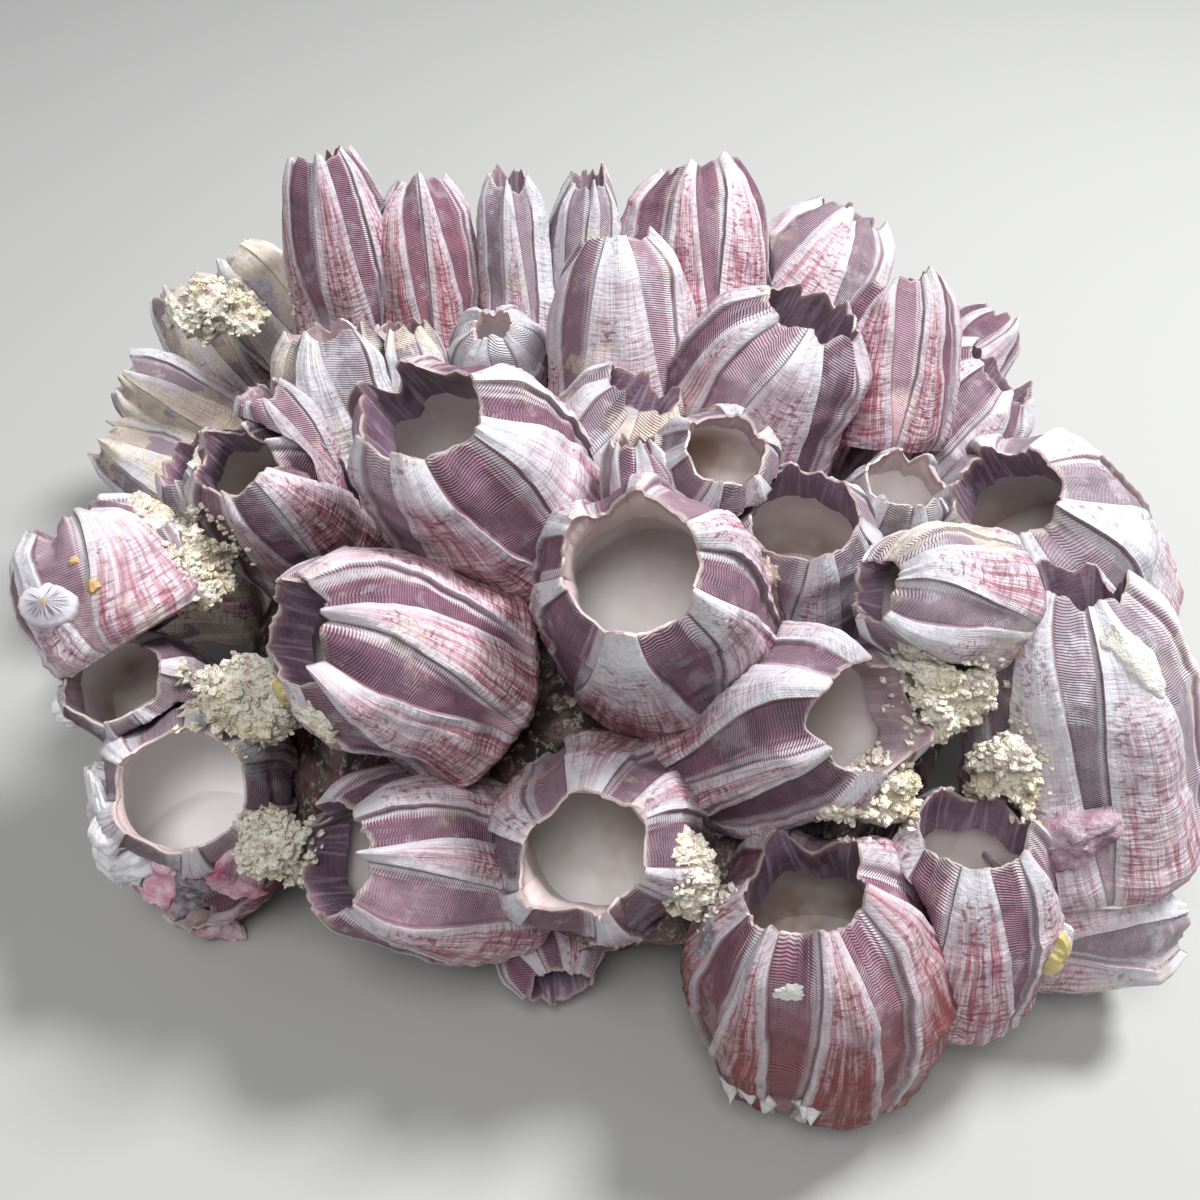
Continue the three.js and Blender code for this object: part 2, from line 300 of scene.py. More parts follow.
def middle_shift(shell, share):
    return smooth(share, 0.7, 1.0)[..., None] * shell["mouth_shift"]


def to_world(shell, radius, angle, share, height):
    shift = middle_shift(shell, share)
    x = radius * np.cos(angle) + shift[..., 0]
    y = radius * np.sin(angle) * shell["oval"] + shift[..., 1]
    sideways = x[..., None] * shell["side"] + y[..., None] * shell["up"]
    return shell["foot"] + sideways + height[..., None] * shell["axis"]


def to_shell(shell, points):
    """World points as (radius, angle, share of the length) in a shell's own frame."""
    away = points - shell["foot"]
    share = away @ shell["axis"] / shell["length"]
    shift = middle_shift(shell, share)
    x = away @ shell["side"] - shift[..., 0]
    y = (away @ shell["up"] - shift[..., 1]) / shell["oval"]
    return np.hypot(x, y), np.arctan2(y, x), share


# %% [markdown]
# ## Panels
# Going round a shell, plates and radii take turns. A plate is wide at the foot and narrows to a tip at
# the rim; the radius beside it does the opposite. The mesh's columns follow the borders between them, so
# each border is a clean edge with a small step, as on the real shell.

# %% Columns that follow the plates
FINE = dict(plate=13, radius=9, outer=50, inner=20, floor=9)
PLAIN = dict(plate=10, radius=5, outer=34, inner=13, floor=5)
LARGE_SHELL = 16.5  # belly radius in mm from which a shell gets the fine mesh
PLATE_HEIGHTS = np.array([0.0, 0.25, 0.5, 0.75, 1.0])
PLATE_PARTS = np.array([0.93, 0.8, 0.63, 0.48, 0.32])  # how much of the way round is plate, from foot to rim
PANEL_PICKS = {
    "shell_crown_1": (9, 15),
    "shell_crown_2": (14, 30),
    "shell_crown_3": (1, 160),
    "shell_crown_4": (202, 225),
    "shell_crown_8": (44, 170),
    "shell_front_1": (65, 190),
    "shell_front_2": (204, 145),
    "shell_front_3": (1, 180),
    "shell_front_4": (2, 0),
    "shell_front_5": (92, 265),
    "shell_right_1": (21, 210),
}


def panel_pick(shell):
    """Which run of random panel widths a shell has, and how far its panels are turned, in degrees."""
    return PANEL_PICKS.get(shell["node"], (shell["seed"], 0))


def panel_edges(shell, share):
    """The angles of all twelve borders at each height: plate, radius, plate and so on."""
    seed, turned = panel_pick(shell)
    plates = np.array([between(0.6, 1.5, seed, 34, k) for k in range(6)])
    radii = np.array([between(0.65, 1.4, seed, 35, k) for k in range(6)])
    plate_part = through(share, PLATE_HEIGHTS, PLATE_PARTS)
    widths = np.empty((12, len(share)))
    widths[0::2] = plates[:, None] / plates.sum() * plate_part
    widths[1::2] = radii[:, None] / radii.sum() * (1 - plate_part)
    edges = np.concatenate([np.zeros((1, len(share))), np.cumsum(widths, axis=0)]) * 2 * math.pi
    middle = edges[:-1].mean(axis=0) - math.pi
    twist = math.radians(between(-16, 16, seed, 31)) * (share - 0.4)
    sway = np.array([between(4, 9, seed, 33, k) for k in range(12)] + [0])
    sway[12] = sway[0]
    phase = np.append(np.arange(12), 0)
    wave = np.radians(1.3) * np.sin(share[None, :] * sway[:, None] + phase[:, None] * 2.1)
    return edges - middle + twist + wave * smooth(share, 0, 0.3) + shell["turn"] + math.radians(turned)


def panel_columns(shell, share, size):
    """Angles of all columns at each height, with which panel and how far across it each one is."""
    edges = panel_edges(shell, share)
    angles, panel, across, width = [], [], [], []
    for number in range(12):
        first, last = edges[number], edges[number + 1]
        inset = 0.0 if number % 2 == 0 else 0.03
        for v in np.linspace(inset, 1 - inset, size["radius" if number % 2 else "plate"]):
            angles.append(first + (last - first) * v)
            panel.append(number)
            across.append(2 * v - 1)
            width.append((last - first) / 2)
    return np.stack(angles, axis=1), np.array(panel), np.array(across), np.stack(width, axis=1)


# %% [markdown]
# ## Relief
# A plate is folded lengthwise into ribs, strongest near the foot, and its edges stand up as pale
# margins. A radius is a shallow trough. Growth adds faint steps round the whole shell. Old shells are
# worn, so large and small unevenness is laid over everything.

# %% Relief of the outer wall


def relief(shell, share, angles, panel, across):
    """How far each point of the outer wall stands out from the plain form, in millimetres."""
    seed, scale = shell["seed"], shell["belly"] / 20
    u = across[None, :]
    is_plate = (panel % 2 == 0)[None, :]
    t = share[:, None]
    low = 1 - smooth(t, 0.15, 1.0)
    ribs = np.zeros(angles.shape)
    for column, (p, a) in enumerate(zip(panel, across)):
        if p % 2:
            continue
        for rib in range(5):
            place = -0.8 + 0.4 * rib + between(-0.13, 0.13, seed, 40 + rib, p)
            sway = 0.05 * np.sin(share * between(6, 14, seed, 50 + rib, p) + rib)
            spread = between(0.09, 0.17, seed, 60 + rib, p)
            tall = between(0.25, 1.0, seed, 70 + rib, p)
            ribs[:, column] += tall * np.exp(-(((a - place - sway) / spread) ** 2))
    margin = np.exp(-(((abs(u) - 0.94) / 0.12) ** 2))
    crown = 0.7 * (1 - u * u)
    plate = crown + ribs * (0.2 + 0.6 * low) + 0.5 * margin * smooth(t, 0.1, 0.5)
    trough = -(0.75 + 0.45 * (1 - u * u)) * smooth(t, 0.0, 0.35)
    flat = np.stack([np.cos(angles) * 20, np.sin(angles) * 20, t * shell["length"] + 0 * angles], axis=-1)
    worn = 1.5 * wander(flat, 15, seed + 100) + 0.7 * wander(flat, 7, seed)
    worn += 0.3 * wander(flat, 3.0, seed + 300)
    growth = 0.16 * wander(flat * (0.12, 0.12, 1.0), 1.9, seed + 600)
    ledges = np.zeros(angles.shape)
    for ledge in range(7):
        place = between(0.08, 0.88, seed, 110 + ledge)
        place = place + 0.03 * wander(flat * (1, 1, 0), 8, seed + 700 + ledge)
        past = (t - place) * shell["length"]
        slope = np.where(past < 0, np.exp(past / 2.5), np.exp(-past / 0.35))
        ledges += between(0.1, 0.55, seed, 120 + ledge) * slope
    fade = smooth(1 - t, 0, 0.12) * 0.7 + 0.3
    form = (np.where(is_plate, plate, trough) * fade + growth + ledges) * scale
    return form + worn * (0.5 + 0.5 * scale), np.clip(ribs * is_plate, 0, 1)


def rim_line(shell, angles, panel, across):
    """How far the rim stands above the mouth's mean height at each angle of the last row."""
    seed, length = shell["seed"], shell["length"]
    turn = ((angles - shell["turn"]) / (math.pi / 6)) % SIDES
    k = np.floor(turn).astype(int) % SIDES
    blend = smooth(turn - np.floor(turn), 0, 1)
    rises = shell["rises"] * 0.8
    line = rises[k] * (1 - blend) + rises[(k + 1) % SIDES] * blend
    circle = np.stack([np.cos(angles) * 20, np.sin(angles) * 20, 0 * angles + seed * 9.7], axis=-1)
    line += 0.55 * wander(circle, 1.3, seed) + 1.0 * wander(circle, 5.5, seed + 1)
    tall = np.array([between(-0.004, 0.066, seed, 85, p) for p in range(12)])[panel]
    lean = np.array([between(-0.5, 0.5, seed, 86, p) for p in range(12)])[panel]
    sharp = np.array([between(0.9, 2.4, seed, 87, p) for p in range(12)])[panel]
    hollow = np.array([between(0.0, 0.03, seed, 88, p) for p in range(12)])[panel]
    from_tip = np.clip(abs(across - lean) / (1 + abs(lean)), 0, 1)
    line += length * np.where(panel % 2 == 0, tall * (1 - from_tip**sharp), -hollow * (1 - across**2))
    for chip in range(3):
        where = between(0, 2 * math.pi, seed, 80 + chip)
        wide = between(0.08, 0.24, seed, 90 + chip)
        deep = between(0.4, 2.4, seed, 95 + chip)
        line -= deep * np.exp(-((np.angle(np.exp(1j * (angles - where))) / wide) ** 4))
    return line


# %% [markdown]
# ## One shell as a mesh
# Rows of points run from the middle of the foot, up the outside, over the thin rim, down the cavity and
# across its floor, so the mesh is one closed skin. The upper cavity is the sheath, a thick glossy lining
# that ends in a step. Each point also carries facts for the paint: how far it is from a border, how far
# below the rim, and which way growth ran.

# %% Build the rows of a shell
SHEATH_END = 0.76
RIM_THICKNESS = 0.5
CREASE = math.radians(50)


def shell_rows(shell):
    size = FINE if shell["belly"] > LARGE_SHELL else PLAIN
    seed, length = shell["seed"], shell["length"]
    lower = np.linspace(0, 0.8, int(size["outer"] * 0.68), endpoint=False)
    upper = np.linspace(0.8, 1, size["outer"] - len(lower))
    outer = np.concatenate([lower, upper])
    angles, panel, across, width = panel_columns(shell, outer, size)
    stand_out, ridge = relief(shell, outer, angles, panel, across)
    radius = form_radius(shell, outer[:, None], angles) + stand_out
    rim = rim_line(shell, angles[-1], panel, across)
    lift = smooth(outer, 0.55, 1.0)[:, None] * rim[None, :]
    height = outer[:, None] * length + lift
    share = outer[:, None] + 0 * angles

    sheath_rows = size["inner"] * 3 // 5
    inner = np.concatenate(
        [
            np.linspace(1, SHEATH_END + 0.02, sheath_rows),
            np.linspace(SHEATH_END - 0.02, FLOOR_HEIGHT, size["inner"] - sheath_rows),
        ]
    )
    inner_angles = panel_columns(shell, inner, size)[0]
    wall = 3.0 * (0.55 + 0.45 * shell["belly"] / 20)
    form = form_radius(shell, inner[:, None], inner_angles)
    throat = form_radius(shell, np.array([[1.0]]), inner_angles) - 0.9 + 3.0 * (1 - inner[:, None])
    sheath = smooth(inner[:, None], SHEATH_END - 0.015, SHEATH_END + 0.015)
    hollow = form - wall - 1.2 * smooth(inner[:, None], 0.5, FLOOR_HEIGHT)
    straight = np.minimum(throat, form - 0.9 - 1.2 * smooth(inner[:, None], 1.0, 0.85))
    seams = np.exp(-(((1 - abs(across)) / 0.12) ** 2))[None, :] * 0.15
    bulge = np.where(panel % 2 == 0, 0.18, -0.18)[None, :] * (1 - across[None, :] ** 2)
    inner_share = inner[:, None] + 0 * inner_angles
    unrolled = [np.cos(inner_angles) * 20, np.sin(inner_angles) * 20, inner_share * length]
    rough = 0.35 * wander(np.stack(unrolled, -1), 8, seed + 900)
    inside = np.minimum(straight * sheath + hollow * (1 - sheath), hollow * (1 - sheath) + straight * sheath)
    inside = inside + seams - bulge * smooth(inner, 0.5, 0.8)[:, None] + rough
    edge_wall = (radius[-1] - RIM_THICKNESS)[None, :]
    near_rim = smooth(inner, 0.86, 1.0)[:, None]
    inside = np.minimum(inside * (1 - near_rim) + edge_wall * near_rim, inside + 2)
    inside = np.maximum(inside, 0.25 * shell["mouth"])
    inner_height = inner[:, None] * length + smooth(inner, 0.55, 1.0)[:, None] * (rim[None, :] - 0.12)

    floor_share = np.linspace(1, 0, size["floor"] + 1)[1:-1]
    floor_radius = inside[-1][None, :] * floor_share[:, None]
    floor_height = inner_height[-1][None, :] - 0.9 * (1 - floor_share[:, None] ** 2)
    foot_share = np.array([0.5])
    foot_radius = radius[0][None, :] * foot_share[:, None]

    blank = lambda n: np.zeros((n, angles.shape[1]))
    all_radius = np.concatenate([foot_radius, radius, inside, floor_radius])
    floor_angles = np.repeat(inner_angles[-1:], len(floor_share), 0)
    all_angles = np.concatenate([angles[:1], angles, inner_angles, floor_angles])
    all_height = np.concatenate([height[:1], height, inner_height, floor_height])
    all_share = np.concatenate([share[:1], share, inner_share, FLOOR_HEIGHT + blank(len(floor_share))])
    within = np.concatenate([blank(1), blank(len(outer)), blank(len(inner)) + 1, blank(len(floor_share)) + 1])
    inner_width = panel_columns(shell, inner, size)[3]
    floor_width = np.repeat(width[:1], len(floor_share), 0)
    span = np.concatenate([width[:1], width, inner_width, floor_width])
    border = (1 - abs(across[None, :])) * span * np.maximum(all_radius, 1)
    border = np.where(panel[None, :] % 2 == 1, border, -border)
    below = np.where(within > 0, inner_depth(all_share, length), (1 - all_share) * length)
    facts = dict(
        border=border,
        along=all_height + growth_sag(panel, across, all_share) + seed * 3.17,
        across_grain=panel[None, :] * 11.3 + across[None, :] * 5.0 + seed * 5.3 + 0 * all_height,
        across=across[None, :] + 0 * all_height,
        below_rim=below,
        within=within,
        ridge=np.concatenate([ridge[:1], ridge, blank(len(inner) + len(floor_share))]),
        panel_tint=np.array([chance(seed, 7, p) for p in panel])[None, :] + 0 * all_height,
        deep=all_share,
    )
    points = to_world(shell, all_radius, all_angles, all_share, all_height)
    return points, facts


def inner_depth(share, length):
    return (1 - share) * length


def growth_sag(panel, across, share):
    """Growth lines sag towards the foot in the middle of a plate and lean across a radius."""
    plate = 1.6 * (1 - across**2)[None, :] * (1.2 - share)
    radius = 0.9 * across[None, :]
    return np.where(panel[None, :] % 2 == 0, plate, radius)


# %% [markdown]
# ## Crowding
# Barnacles that touch while they grow flatten against each other. The record lists older shells first.
# A younger shell's points that fall inside an older one's form are pushed out to its surface, and the
# cavity's points a little further, so the squeezed wall keeps a thickness.

# %% Press a shell against its older neighbours


def press(points, within, neighbours, gap=0.25, wall=1.6):
    """Pushes a shell's points out of its older neighbours. within is 1 on the cavity, 0 on the outside."""
    for other in neighbours:
        reach = other["length"] + 2 * other["belly"]
        near = np.linalg.norm(points - other["foot"], axis=-1) < reach
        if not near.any():
            continue
        radius, angle, share = to_shell(other, points)
        limit = form_radius(other, share, angle) + gap + wall * within
        inside = near & (share > -0.02) & (share < 1.02) & (radius < limit)
        if not inside.any():
            continue
        x = radius * np.cos(angle)
        y = radius * np.sin(angle)
        grow = np.where(inside, limit / np.maximum(radius, 0.5), 1)
        move_x, move_y = x * (grow - 1), y * (grow - 1) * other["oval"]
        points = points + np.where(inside, move_x, 0)[..., None] * other["side"]
        points = points + np.where(inside, move_y, 0)[..., None] * other["up"]
    return points


# %% [markdown]
# ## From points to a mesh
# A shell's skin is one closed sheet: out of the foot, up the outer wall, over the rim, down the lining
# and across the floor. Its points lie in rows that go round, so the faces are quads between neighbouring
# rows, with a fan of triangles at each end. Facts such as the depth or the distance to a border are
# stored at each point, and the materials read them later.

# %% Meshes from rows of points


def closed_rows(rows, columns):
    """Faces of a closed skin: a fan, rows of quads that go round, and a fan. Points: first, rows, last."""
    start = 1
    index = start + np.arange(rows * columns).reshape(rows, columns)
    here, nxt = index, np.roll(index, -1, axis=1)
    quads = np.stack([here[:-1], nxt[:-1], nxt[1:], here[1:]], axis=-1).reshape(-1, 4)
    last = start + rows * columns
    bottom = [(0, b, a) for a, b in zip(here[0], nxt[0])]
    top = [(last, a, b) for a, b in zip(here[-1], nxt[-1])]
    return quads.tolist() + bottom + top


def make_object(name, points, faces, facts, material):
    mesh = bpy.data.meshes.new(name)
    points = np.array(points)
    points[:, 2] = np.maximum(points[:, 2], 0)
    mesh.from_pydata((points * 0.001).tolist(), [], faces)
    for key, values in facts.items():
        layer = mesh.attributes.new(key, "FLOAT", "POINT")
        layer.data.foreach_set("value", np.asarray(values, np.float32).ravel())
    mesh.shade_smooth()
    mesh.materials.append(material)
    piece = bpy.data.objects.new(name, mesh)
    bpy.context.scene.collection.objects.link(piece)
    return piece


def slot_of(node):
    return next(s["material_slot"] for s in frame["record"]["subparts"] if s["node"] == node)


# %% [markdown]
# ## Painting with sums
# A finish is a sum of patterns. The small class `Value` lets node outputs be added and multiplied like
# numbers, so the recipe of a finish reads as a formula. `Paint` makes the nodes of one material.

# %% Values and paint


class Value:
    """A node's output that can stand in a formula."""

    def __init__(self, paint, socket):
        self.paint, self.socket = paint, socket

    def __add__(self, other):
        return self.paint.math("ADD", self, other)

    def __sub__(self, other):
        return self.paint.math("SUBTRACT", self, other)

    def __rsub__(self, other):
        return self.paint.math("SUBTRACT", other, self)

    def __mul__(self, other):
        return self.paint.math("MULTIPLY", self, other)

    def __truediv__(self, other):
        return self.paint.math("DIVIDE", self, other)

    def __pow__(self, other):
        return self.paint.math("POWER", self, other)

    def __neg__(self):
        return self * -1

    def __abs__(self):
        return self.paint.math("ABSOLUTE", self)

    __radd__ = __add__
    __rmul__ = __mul__

    def at_least(self, low):
        return self.paint.math("MAXIMUM", self, low)

    def at_most(self, high):
        return self.paint.math("MINIMUM", self, high)

    def ramp(self, low, high):
        """0 below low, 1 above high, smooth between. low may be the larger one."""
        sockets = {0: self, 1: low, 2: high}
        return self.paint.node("ShaderNodeMapRange", {"interpolation_type": "SMOOTHSTEP"}, sockets)


class Paint:
    """One material and the nodes in it."""

    def __init__(self, name):
        self.material = bpy.data.materials.new(name)
        self.material.use_nodes = True
        self.tree = self.material.node_tree
        self.shader = self.tree.nodes["Principled BSDF"]

    def node(self, kind, settings=None, sockets=None, output=0):
        made = self.tree.nodes.new(kind)
        for key, value in (settings or {}).items():
            setattr(made, key, value)
        for key, value in (sockets or {}).items():
            self.feed(made.inputs[key], value)
        return Value(self, made.outputs[output])

    def feed(self, socket, value):
        if isinstance(value, Value):
            self.tree.links.new(value.socket, socket)
        elif isinstance(value, (tuple, list)) and len(value) == 3 and socket.type == "RGBA":
            socket.default_value = (*value, 1)
        else:
            socket.default_value = value

    def math(self, kind, *values):
        return self.node("ShaderNodeMath", {"operation": kind}, dict(enumerate(values)))

    def fact(self, name):
        return self.node("ShaderNodeAttribute", {"attribute_name": name}, output="Fac")

    def place(self):
        return self.node("ShaderNodeTexCoord", output="Object")

    def point(self, x=0.0, y=0.0, z=0.0):
        return self.node("ShaderNodeCombineXYZ", None, {"X": x, "Y": y, "Z": z})

    def noise(self, where, scale=1.0, detail=2.0, rough=0.5, warp=0.0):
        """Noise stretched so that it mostly fills 0 to 1."""
        sockets = {"Vector": where, "Scale": scale, "Detail": detail, "Roughness": rough, "Distortion": warp}
        return self.node("ShaderNodeTexNoise", None, sockets).ramp(0.3, 0.7)

    def grains(self, where, scale=1.0):
        return self.node("ShaderNodeTexVoronoi", None, {"Vector": where, "Scale": scale}, "Distance")

    def mix(self, first, second, share):
        settings = {"data_type": "RGBA"}
        return self.node("ShaderNodeMix", settings, {0: share, 6: first, 7: second}, 2)

    def shade(self, colour, share):
        """The colour times a number."""
        return self.node("ShaderNodeVectorMath", {"operation": "SCALE"}, {0: colour, 3: share})

    def bump(self, height, depth, strength=1.0, under=None):
        sockets = {"Height": height, "Distance": depth, "Strength": strength}
        if under is not None:
            sockets["Normal"] = under
        return self.node("ShaderNodeBump", None, sockets, "Normal")

    def finish(self, **sockets):
        for key, value in sockets.items():
            self.feed(self.shader.inputs[key.replace("_", " ")], value)
        return self.material


def colour(red, green, blue):
    """A colour as a paint maker writes it, 0 to 255, turned to light values."""
    parts = [v / 255 for v in (red, green, blue)]
    return tuple(v / 12.92 if v <= 0.04045 else ((v + 0.055) / 1.055) ** 2.4 for v in parts)


# %% [markdown]
# ## The wall's finish
# The plates are chalky white, streaked lengthwise with crimson and pink, rosier towards the foot. The
# radii are mauve with fine cross ridges, pale on the ridge crests as a painted highlight, and a pale line
# along both borders. The rim is worn to a thin cream edge that is also painted lighter as a highlight. All
# of it is dull, with a slight gloss only on the radii.

# %% Wall paint
MAUVE_DARK = colour(68, 42, 60)
MAUVE = colour(112, 74, 96)
MAUVE_PALE = colour(186, 154, 168)
CHALK = colour(208, 206, 212)
BLUSH = colour(216, 178, 188)
CRIMSON = colour(126, 56, 74)
ROSE = colour(166, 100, 116)
RUST = colour(122, 56, 54)
# Cream of the worn rim edge, which also serves as a painted highlight along the rim.
EDGE_WEAR_AND_HIGHLIGHT = colour(208, 200, 188)
SLATE = colour(124, 118, 126)
DIRT = colour(128, 112, 100)
CREAM = colour(230, 221, 204)
SCALE_TAN = colour(206, 188, 166)
RIDGE_TURNS = 13.5


def wall_paint():
    p = Paint("shell wall")
    border, below, deep = p.fact("border"), p.fact("below_rim"), p.fact("deep")
    rosy, pale, grey, crusted = p.fact("rosy"), p.fact("pale"), p.fact("grey"), p.fact("crusted")
    across, grain, along = p.fact("across"), p.fact("across_grain"), p.fact("along")
    ridge, tint = p.fact("ridge"), p.fact("panel_tint")
    place = p.place()

    mottle = p.noise(place, 180, 3)
    areas = p.noise(place, 26, 2)
    blotches = p.noise(place, 75, 2)
    streaks = p.noise(p.point(grain * 1.1, along * 0.05, 0.0), 1, 2, 0.6)
    threads = p.noise(p.point(grain * 3.4, along * 0.10, 7.0), 1, 2, 0.6)
    rings = p.noise(p.point(grain * 0.25, along * 1.3, 3.0), 1, 2, 0.6)
    dashes = p.noise(p.point(grain * 0.55, along * 1.0, 9.0), 1, 3, 0.6)
    blocks = p.noise(p.point(grain * 0.12, along * 0.30, 5.0), 1, 2, 0.6)
    comb = p.math("SINE", along * RIDGE_TURNS + mottle * 1.5) * 0.5 + 0.5

    low = deep.ramp(0.8, 0.2)
    tip = deep.ramp(0.78, 0.97)
    pinkness = areas * 0.5 + low * 0.5 + rosy * 0.6 + tint * 0.4 - pale * 0.8 - tip * 0.4 - 0.15
    pinkness = pinkness.ramp(0.0, 1.0)
    plate = p.mix(CHALK, BLUSH, pinkness * (0.45 + streaks * 0.55))
    plate = p.mix(plate, ROSE, streaks.ramp(0.4, 0.8) * pinkness * 0.85)
    weave = (threads.ramp(0.5, 0.8) * (0.45 + rings * 0.55)).at_least(rings.ramp(0.55, 0.85) * low * 0.8)
    plate = p.mix(plate, CRIMSON, (weave * (0.1 + pinkness * 0.75)).at_most(0.75))
    rust = ((rosy - 0.8).at_least(0.0) * deep.ramp(0.95, 0.5) * (0.8 + streaks * 1.0)).at_most(0.9)
    dash = dashes.ramp(0.62, 0.82) * (blotches + pinkness * 0.6).ramp(0.5, 1.0)
    plate = p.mix(plate, CRIMSON, dash * (0.75 - pale * 0.3))
    plate = p.mix(plate, CHALK, ridge.ramp(0.35, 1.0) * (0.65 - low * 0.3))
    plate = p.mix(plate, RUST, rust)
    plate = p.mix(plate, SLATE, grey * streaks.ramp(0.35, 0.75) * 0.8)

    radius = p.mix(MAUVE, MAUVE_DARK, (blocks * 0.9 + tip * 0.25 - 0.1).at_least(0.0).at_most(1.0))
    # Pale on the crests of the fine cross ridges: a painted highlight along each ridge.
    radius = p.mix(radius, MAUVE_PALE, comb * (0.2 + threads * 0.35))
    radius = p.mix(radius, ROSE, (low * 0.3 + rosy * 0.35) * streaks)
    radius = p.mix(radius, MAUVE_PALE, (tint.ramp(0.55, 1.0) * (0.3 + areas * 0.5)).at_most(0.7))
    fringe = (across + comb * 0.22 + streaks * 0.35).ramp(0.62, 1.1)
    radius = p.mix(radius, ROSE, fringe.ramp(0.0, 0.4) * 0.6)
    radius = p.mix(radius, CHALK, fringe.ramp(0.3, 1.0) * 0.9)
    faded = (deep - tint * 0.4 + streaks * 0.06).ramp(0.1, 0.02)
    radius = p.mix(radius, BLUSH, faded * 0.75)
    radius = p.mix(radius, CHALK, (pale * 0.7).at_least(0.0))
    radius = p.mix(radius, SLATE, grey * 0.7)
    radius = p.mix(radius, RUST, rust * 0.6)
    radius = p.mix(radius, CHALK, blotches.ramp(0.72, 0.95) * (0.2 + pale * 0.3) * threads)

    side = border.ramp(-0.12, 0.12)
    surface = p.mix(plate, radius, side)
    line = (border + mottle * 0.5).ramp(-1.5, -0.7) * border.ramp(0.3, 0.05)
    surface = p.mix(surface, CHALK, line * (0.3 + streaks * 0.5))
    seam = border.ramp(0.0, 0.15) * border.ramp(0.6, 0.3)
    surface = p.mix(surface, CRIMSON, seam * 0.45)
    worn = p.noise(place, 70, 5, 0.7).ramp(0.66, 0.9) * (0.25 + pale * 0.5)
    surface = p.mix(surface, CHALK, worn)
    # A thin cream band at the rim: worn edge and painted highlight together.
    edge_wear_and_highlight = (below + mottle * 0.6).ramp(1.0, 0.4) * (0.2 + blotches * 0.6)
    surface = p.mix(surface, EDGE_WEAR_AND_HIGHLIGHT, edge_wear_and_highlight * 0.8)
    scale = (p.noise(place, 60, 5, 0.7) + crusted - 1.0).ramp(-0.05, 0.2)
    surface = p.mix(surface, p.mix(CREAM, SCALE_TAN, threads), scale * (0.55 + mottle * 0.35))
    grime = p.noise(place, 240, 4, 0.7).ramp(0.5, 0.9)
    dust = p.noise(place, 900, 3, 0.7).ramp(0.72, 0.9) * blotches.ramp(0.3, 0.8)
    surface = p.mix(surface, DIRT, dust * 0.3)
    surface = p.shade(surface, 1 - grime * 0.16)

    fine = rings * 0.7 + threads * 0.5 * (1 - side)
    height = fine * (0.5 + 0.5 * low) * (1 - side * 0.6) + comb * side * 0.8 + mottle * 0.3
    normal = p.bump(height, 0.00028, 0.9)
    rough = 0.6 - side * 0.1 + mottle * 0.15
    return p.finish(Base_Color=surface, Roughness=rough, Normal=normal, Specular_IOR_Level=0.4)


# %% [markdown]
# ## The lining's finish
# Below the rim comes the sheath, a glossy purple lining with growth lines round it and darker seams
# where the plates meet. Under its step the wall is bare white with a flush of pink, and deep down towards
# the floor it is painted brown as shade.

# %% Lining paint
SHEATH = colour(128, 106, 124)
SHEATH_DARK = colour(82, 60, 72)
SHEATH_PALE = colour(184, 168, 184)
LINING = colour(246, 244, 244)
LINING_PINK = colour(236, 216, 214)
# Brown painted as shade deep in the cavity.
CAVITY_SHADE_BROWN = colour(140, 110, 94)
LIP_ROSE = colour(150, 112, 120)


def lining_paint():
    p = Paint("shell lining")
    border, below, deep = p.fact("border"), p.fact("below_rim"), p.fact("deep")
    across, along = p.fact("across_grain"), p.fact("along")
    silt, bare_sheath, dark = p.fact("silt"), p.fact("bare"), p.fact("dark")
    place = p.place()
    patches = p.noise(place, 70, 3)
    mottle = p.noise(place, 210, 3)
    lines = p.noise(p.point(across * 0.3, along * 1.6, 1.0), 1, 3, 0.6)
    depth = patches * 0.6 + lines * 0.35 + dark * 0.4 - 0.15
    sheath = p.mix(SHEATH, SHEATH_DARK, depth.at_least(0.0).at_most(1.0))
    bands = p.noise(p.point(across * 0.5, along * 0.07, 2.0), 1, 2)
    sheath = p.mix(sheath, SHEATH_PALE, bands.ramp(0.5, 0.9) * 0.3)
    seam = abs(border).ramp(0.45, 0.1)
    sheath = p.mix(sheath, SHEATH_PALE, seam * 0.4)
    sheath = p.mix(sheath, LINING_PINK, bare_sheath * 0.9)
    bare = p.mix(LINING, LINING_PINK, patches * 0.6 * (1.2 - bare_sheath).at_most(1.0))
    # Deep in the cavity the lining is painted brown as shade, more on some shells, broken up by patches.
    floor = deep.ramp(0.62, 0.3)
    floor_shade_mask = floor * (silt * (0.5 + patches * 0.9)).at_most(1.0)
    bare = p.mix(bare, CAVITY_SHADE_BROWN, floor_shade_mask * 0.85)
    reach = (deep + lines * 0.01).ramp(SHEATH_END - 0.03, SHEATH_END + 0.0)
    surface = p.mix(bare, sheath, reach)
    lip = (below + mottle * 1.2).ramp(3.0, 1.2)
    surface = p.mix(surface, LIP_ROSE, lip * (0.25 + patches * 0.55))
    # A thin cream band at the rim on the inside too: worn edge and painted highlight together.
    edge_wear_and_highlight = (below + mottle * 0.6).ramp(1.0, 0.4) * (0.2 + patches * 0.6)
    surface = p.mix(surface, EDGE_WEAR_AND_HIGHLIGHT, edge_wear_and_highlight * 0.8)
    normal = p.bump(lines * reach * 0.6 + mottle * 0.2, 0.00014, 0.6)
    rough = 0.5 - reach * 0.2 + mottle * 0.12
    return p.finish(Base_Color=surface, Roughness=rough, Normal=normal, Specular_IOR_Level=0.4)


# %% [markdown]
# ## The crust and the mat
# Dried sponge fills the gaps between some shells. It is pale cream, soft and crumbly. The mat under the
# shells is the broken bases of older barnacles and mud, rough, and painted dark brown as shade so that the
# gaps between the shells look shadowed.

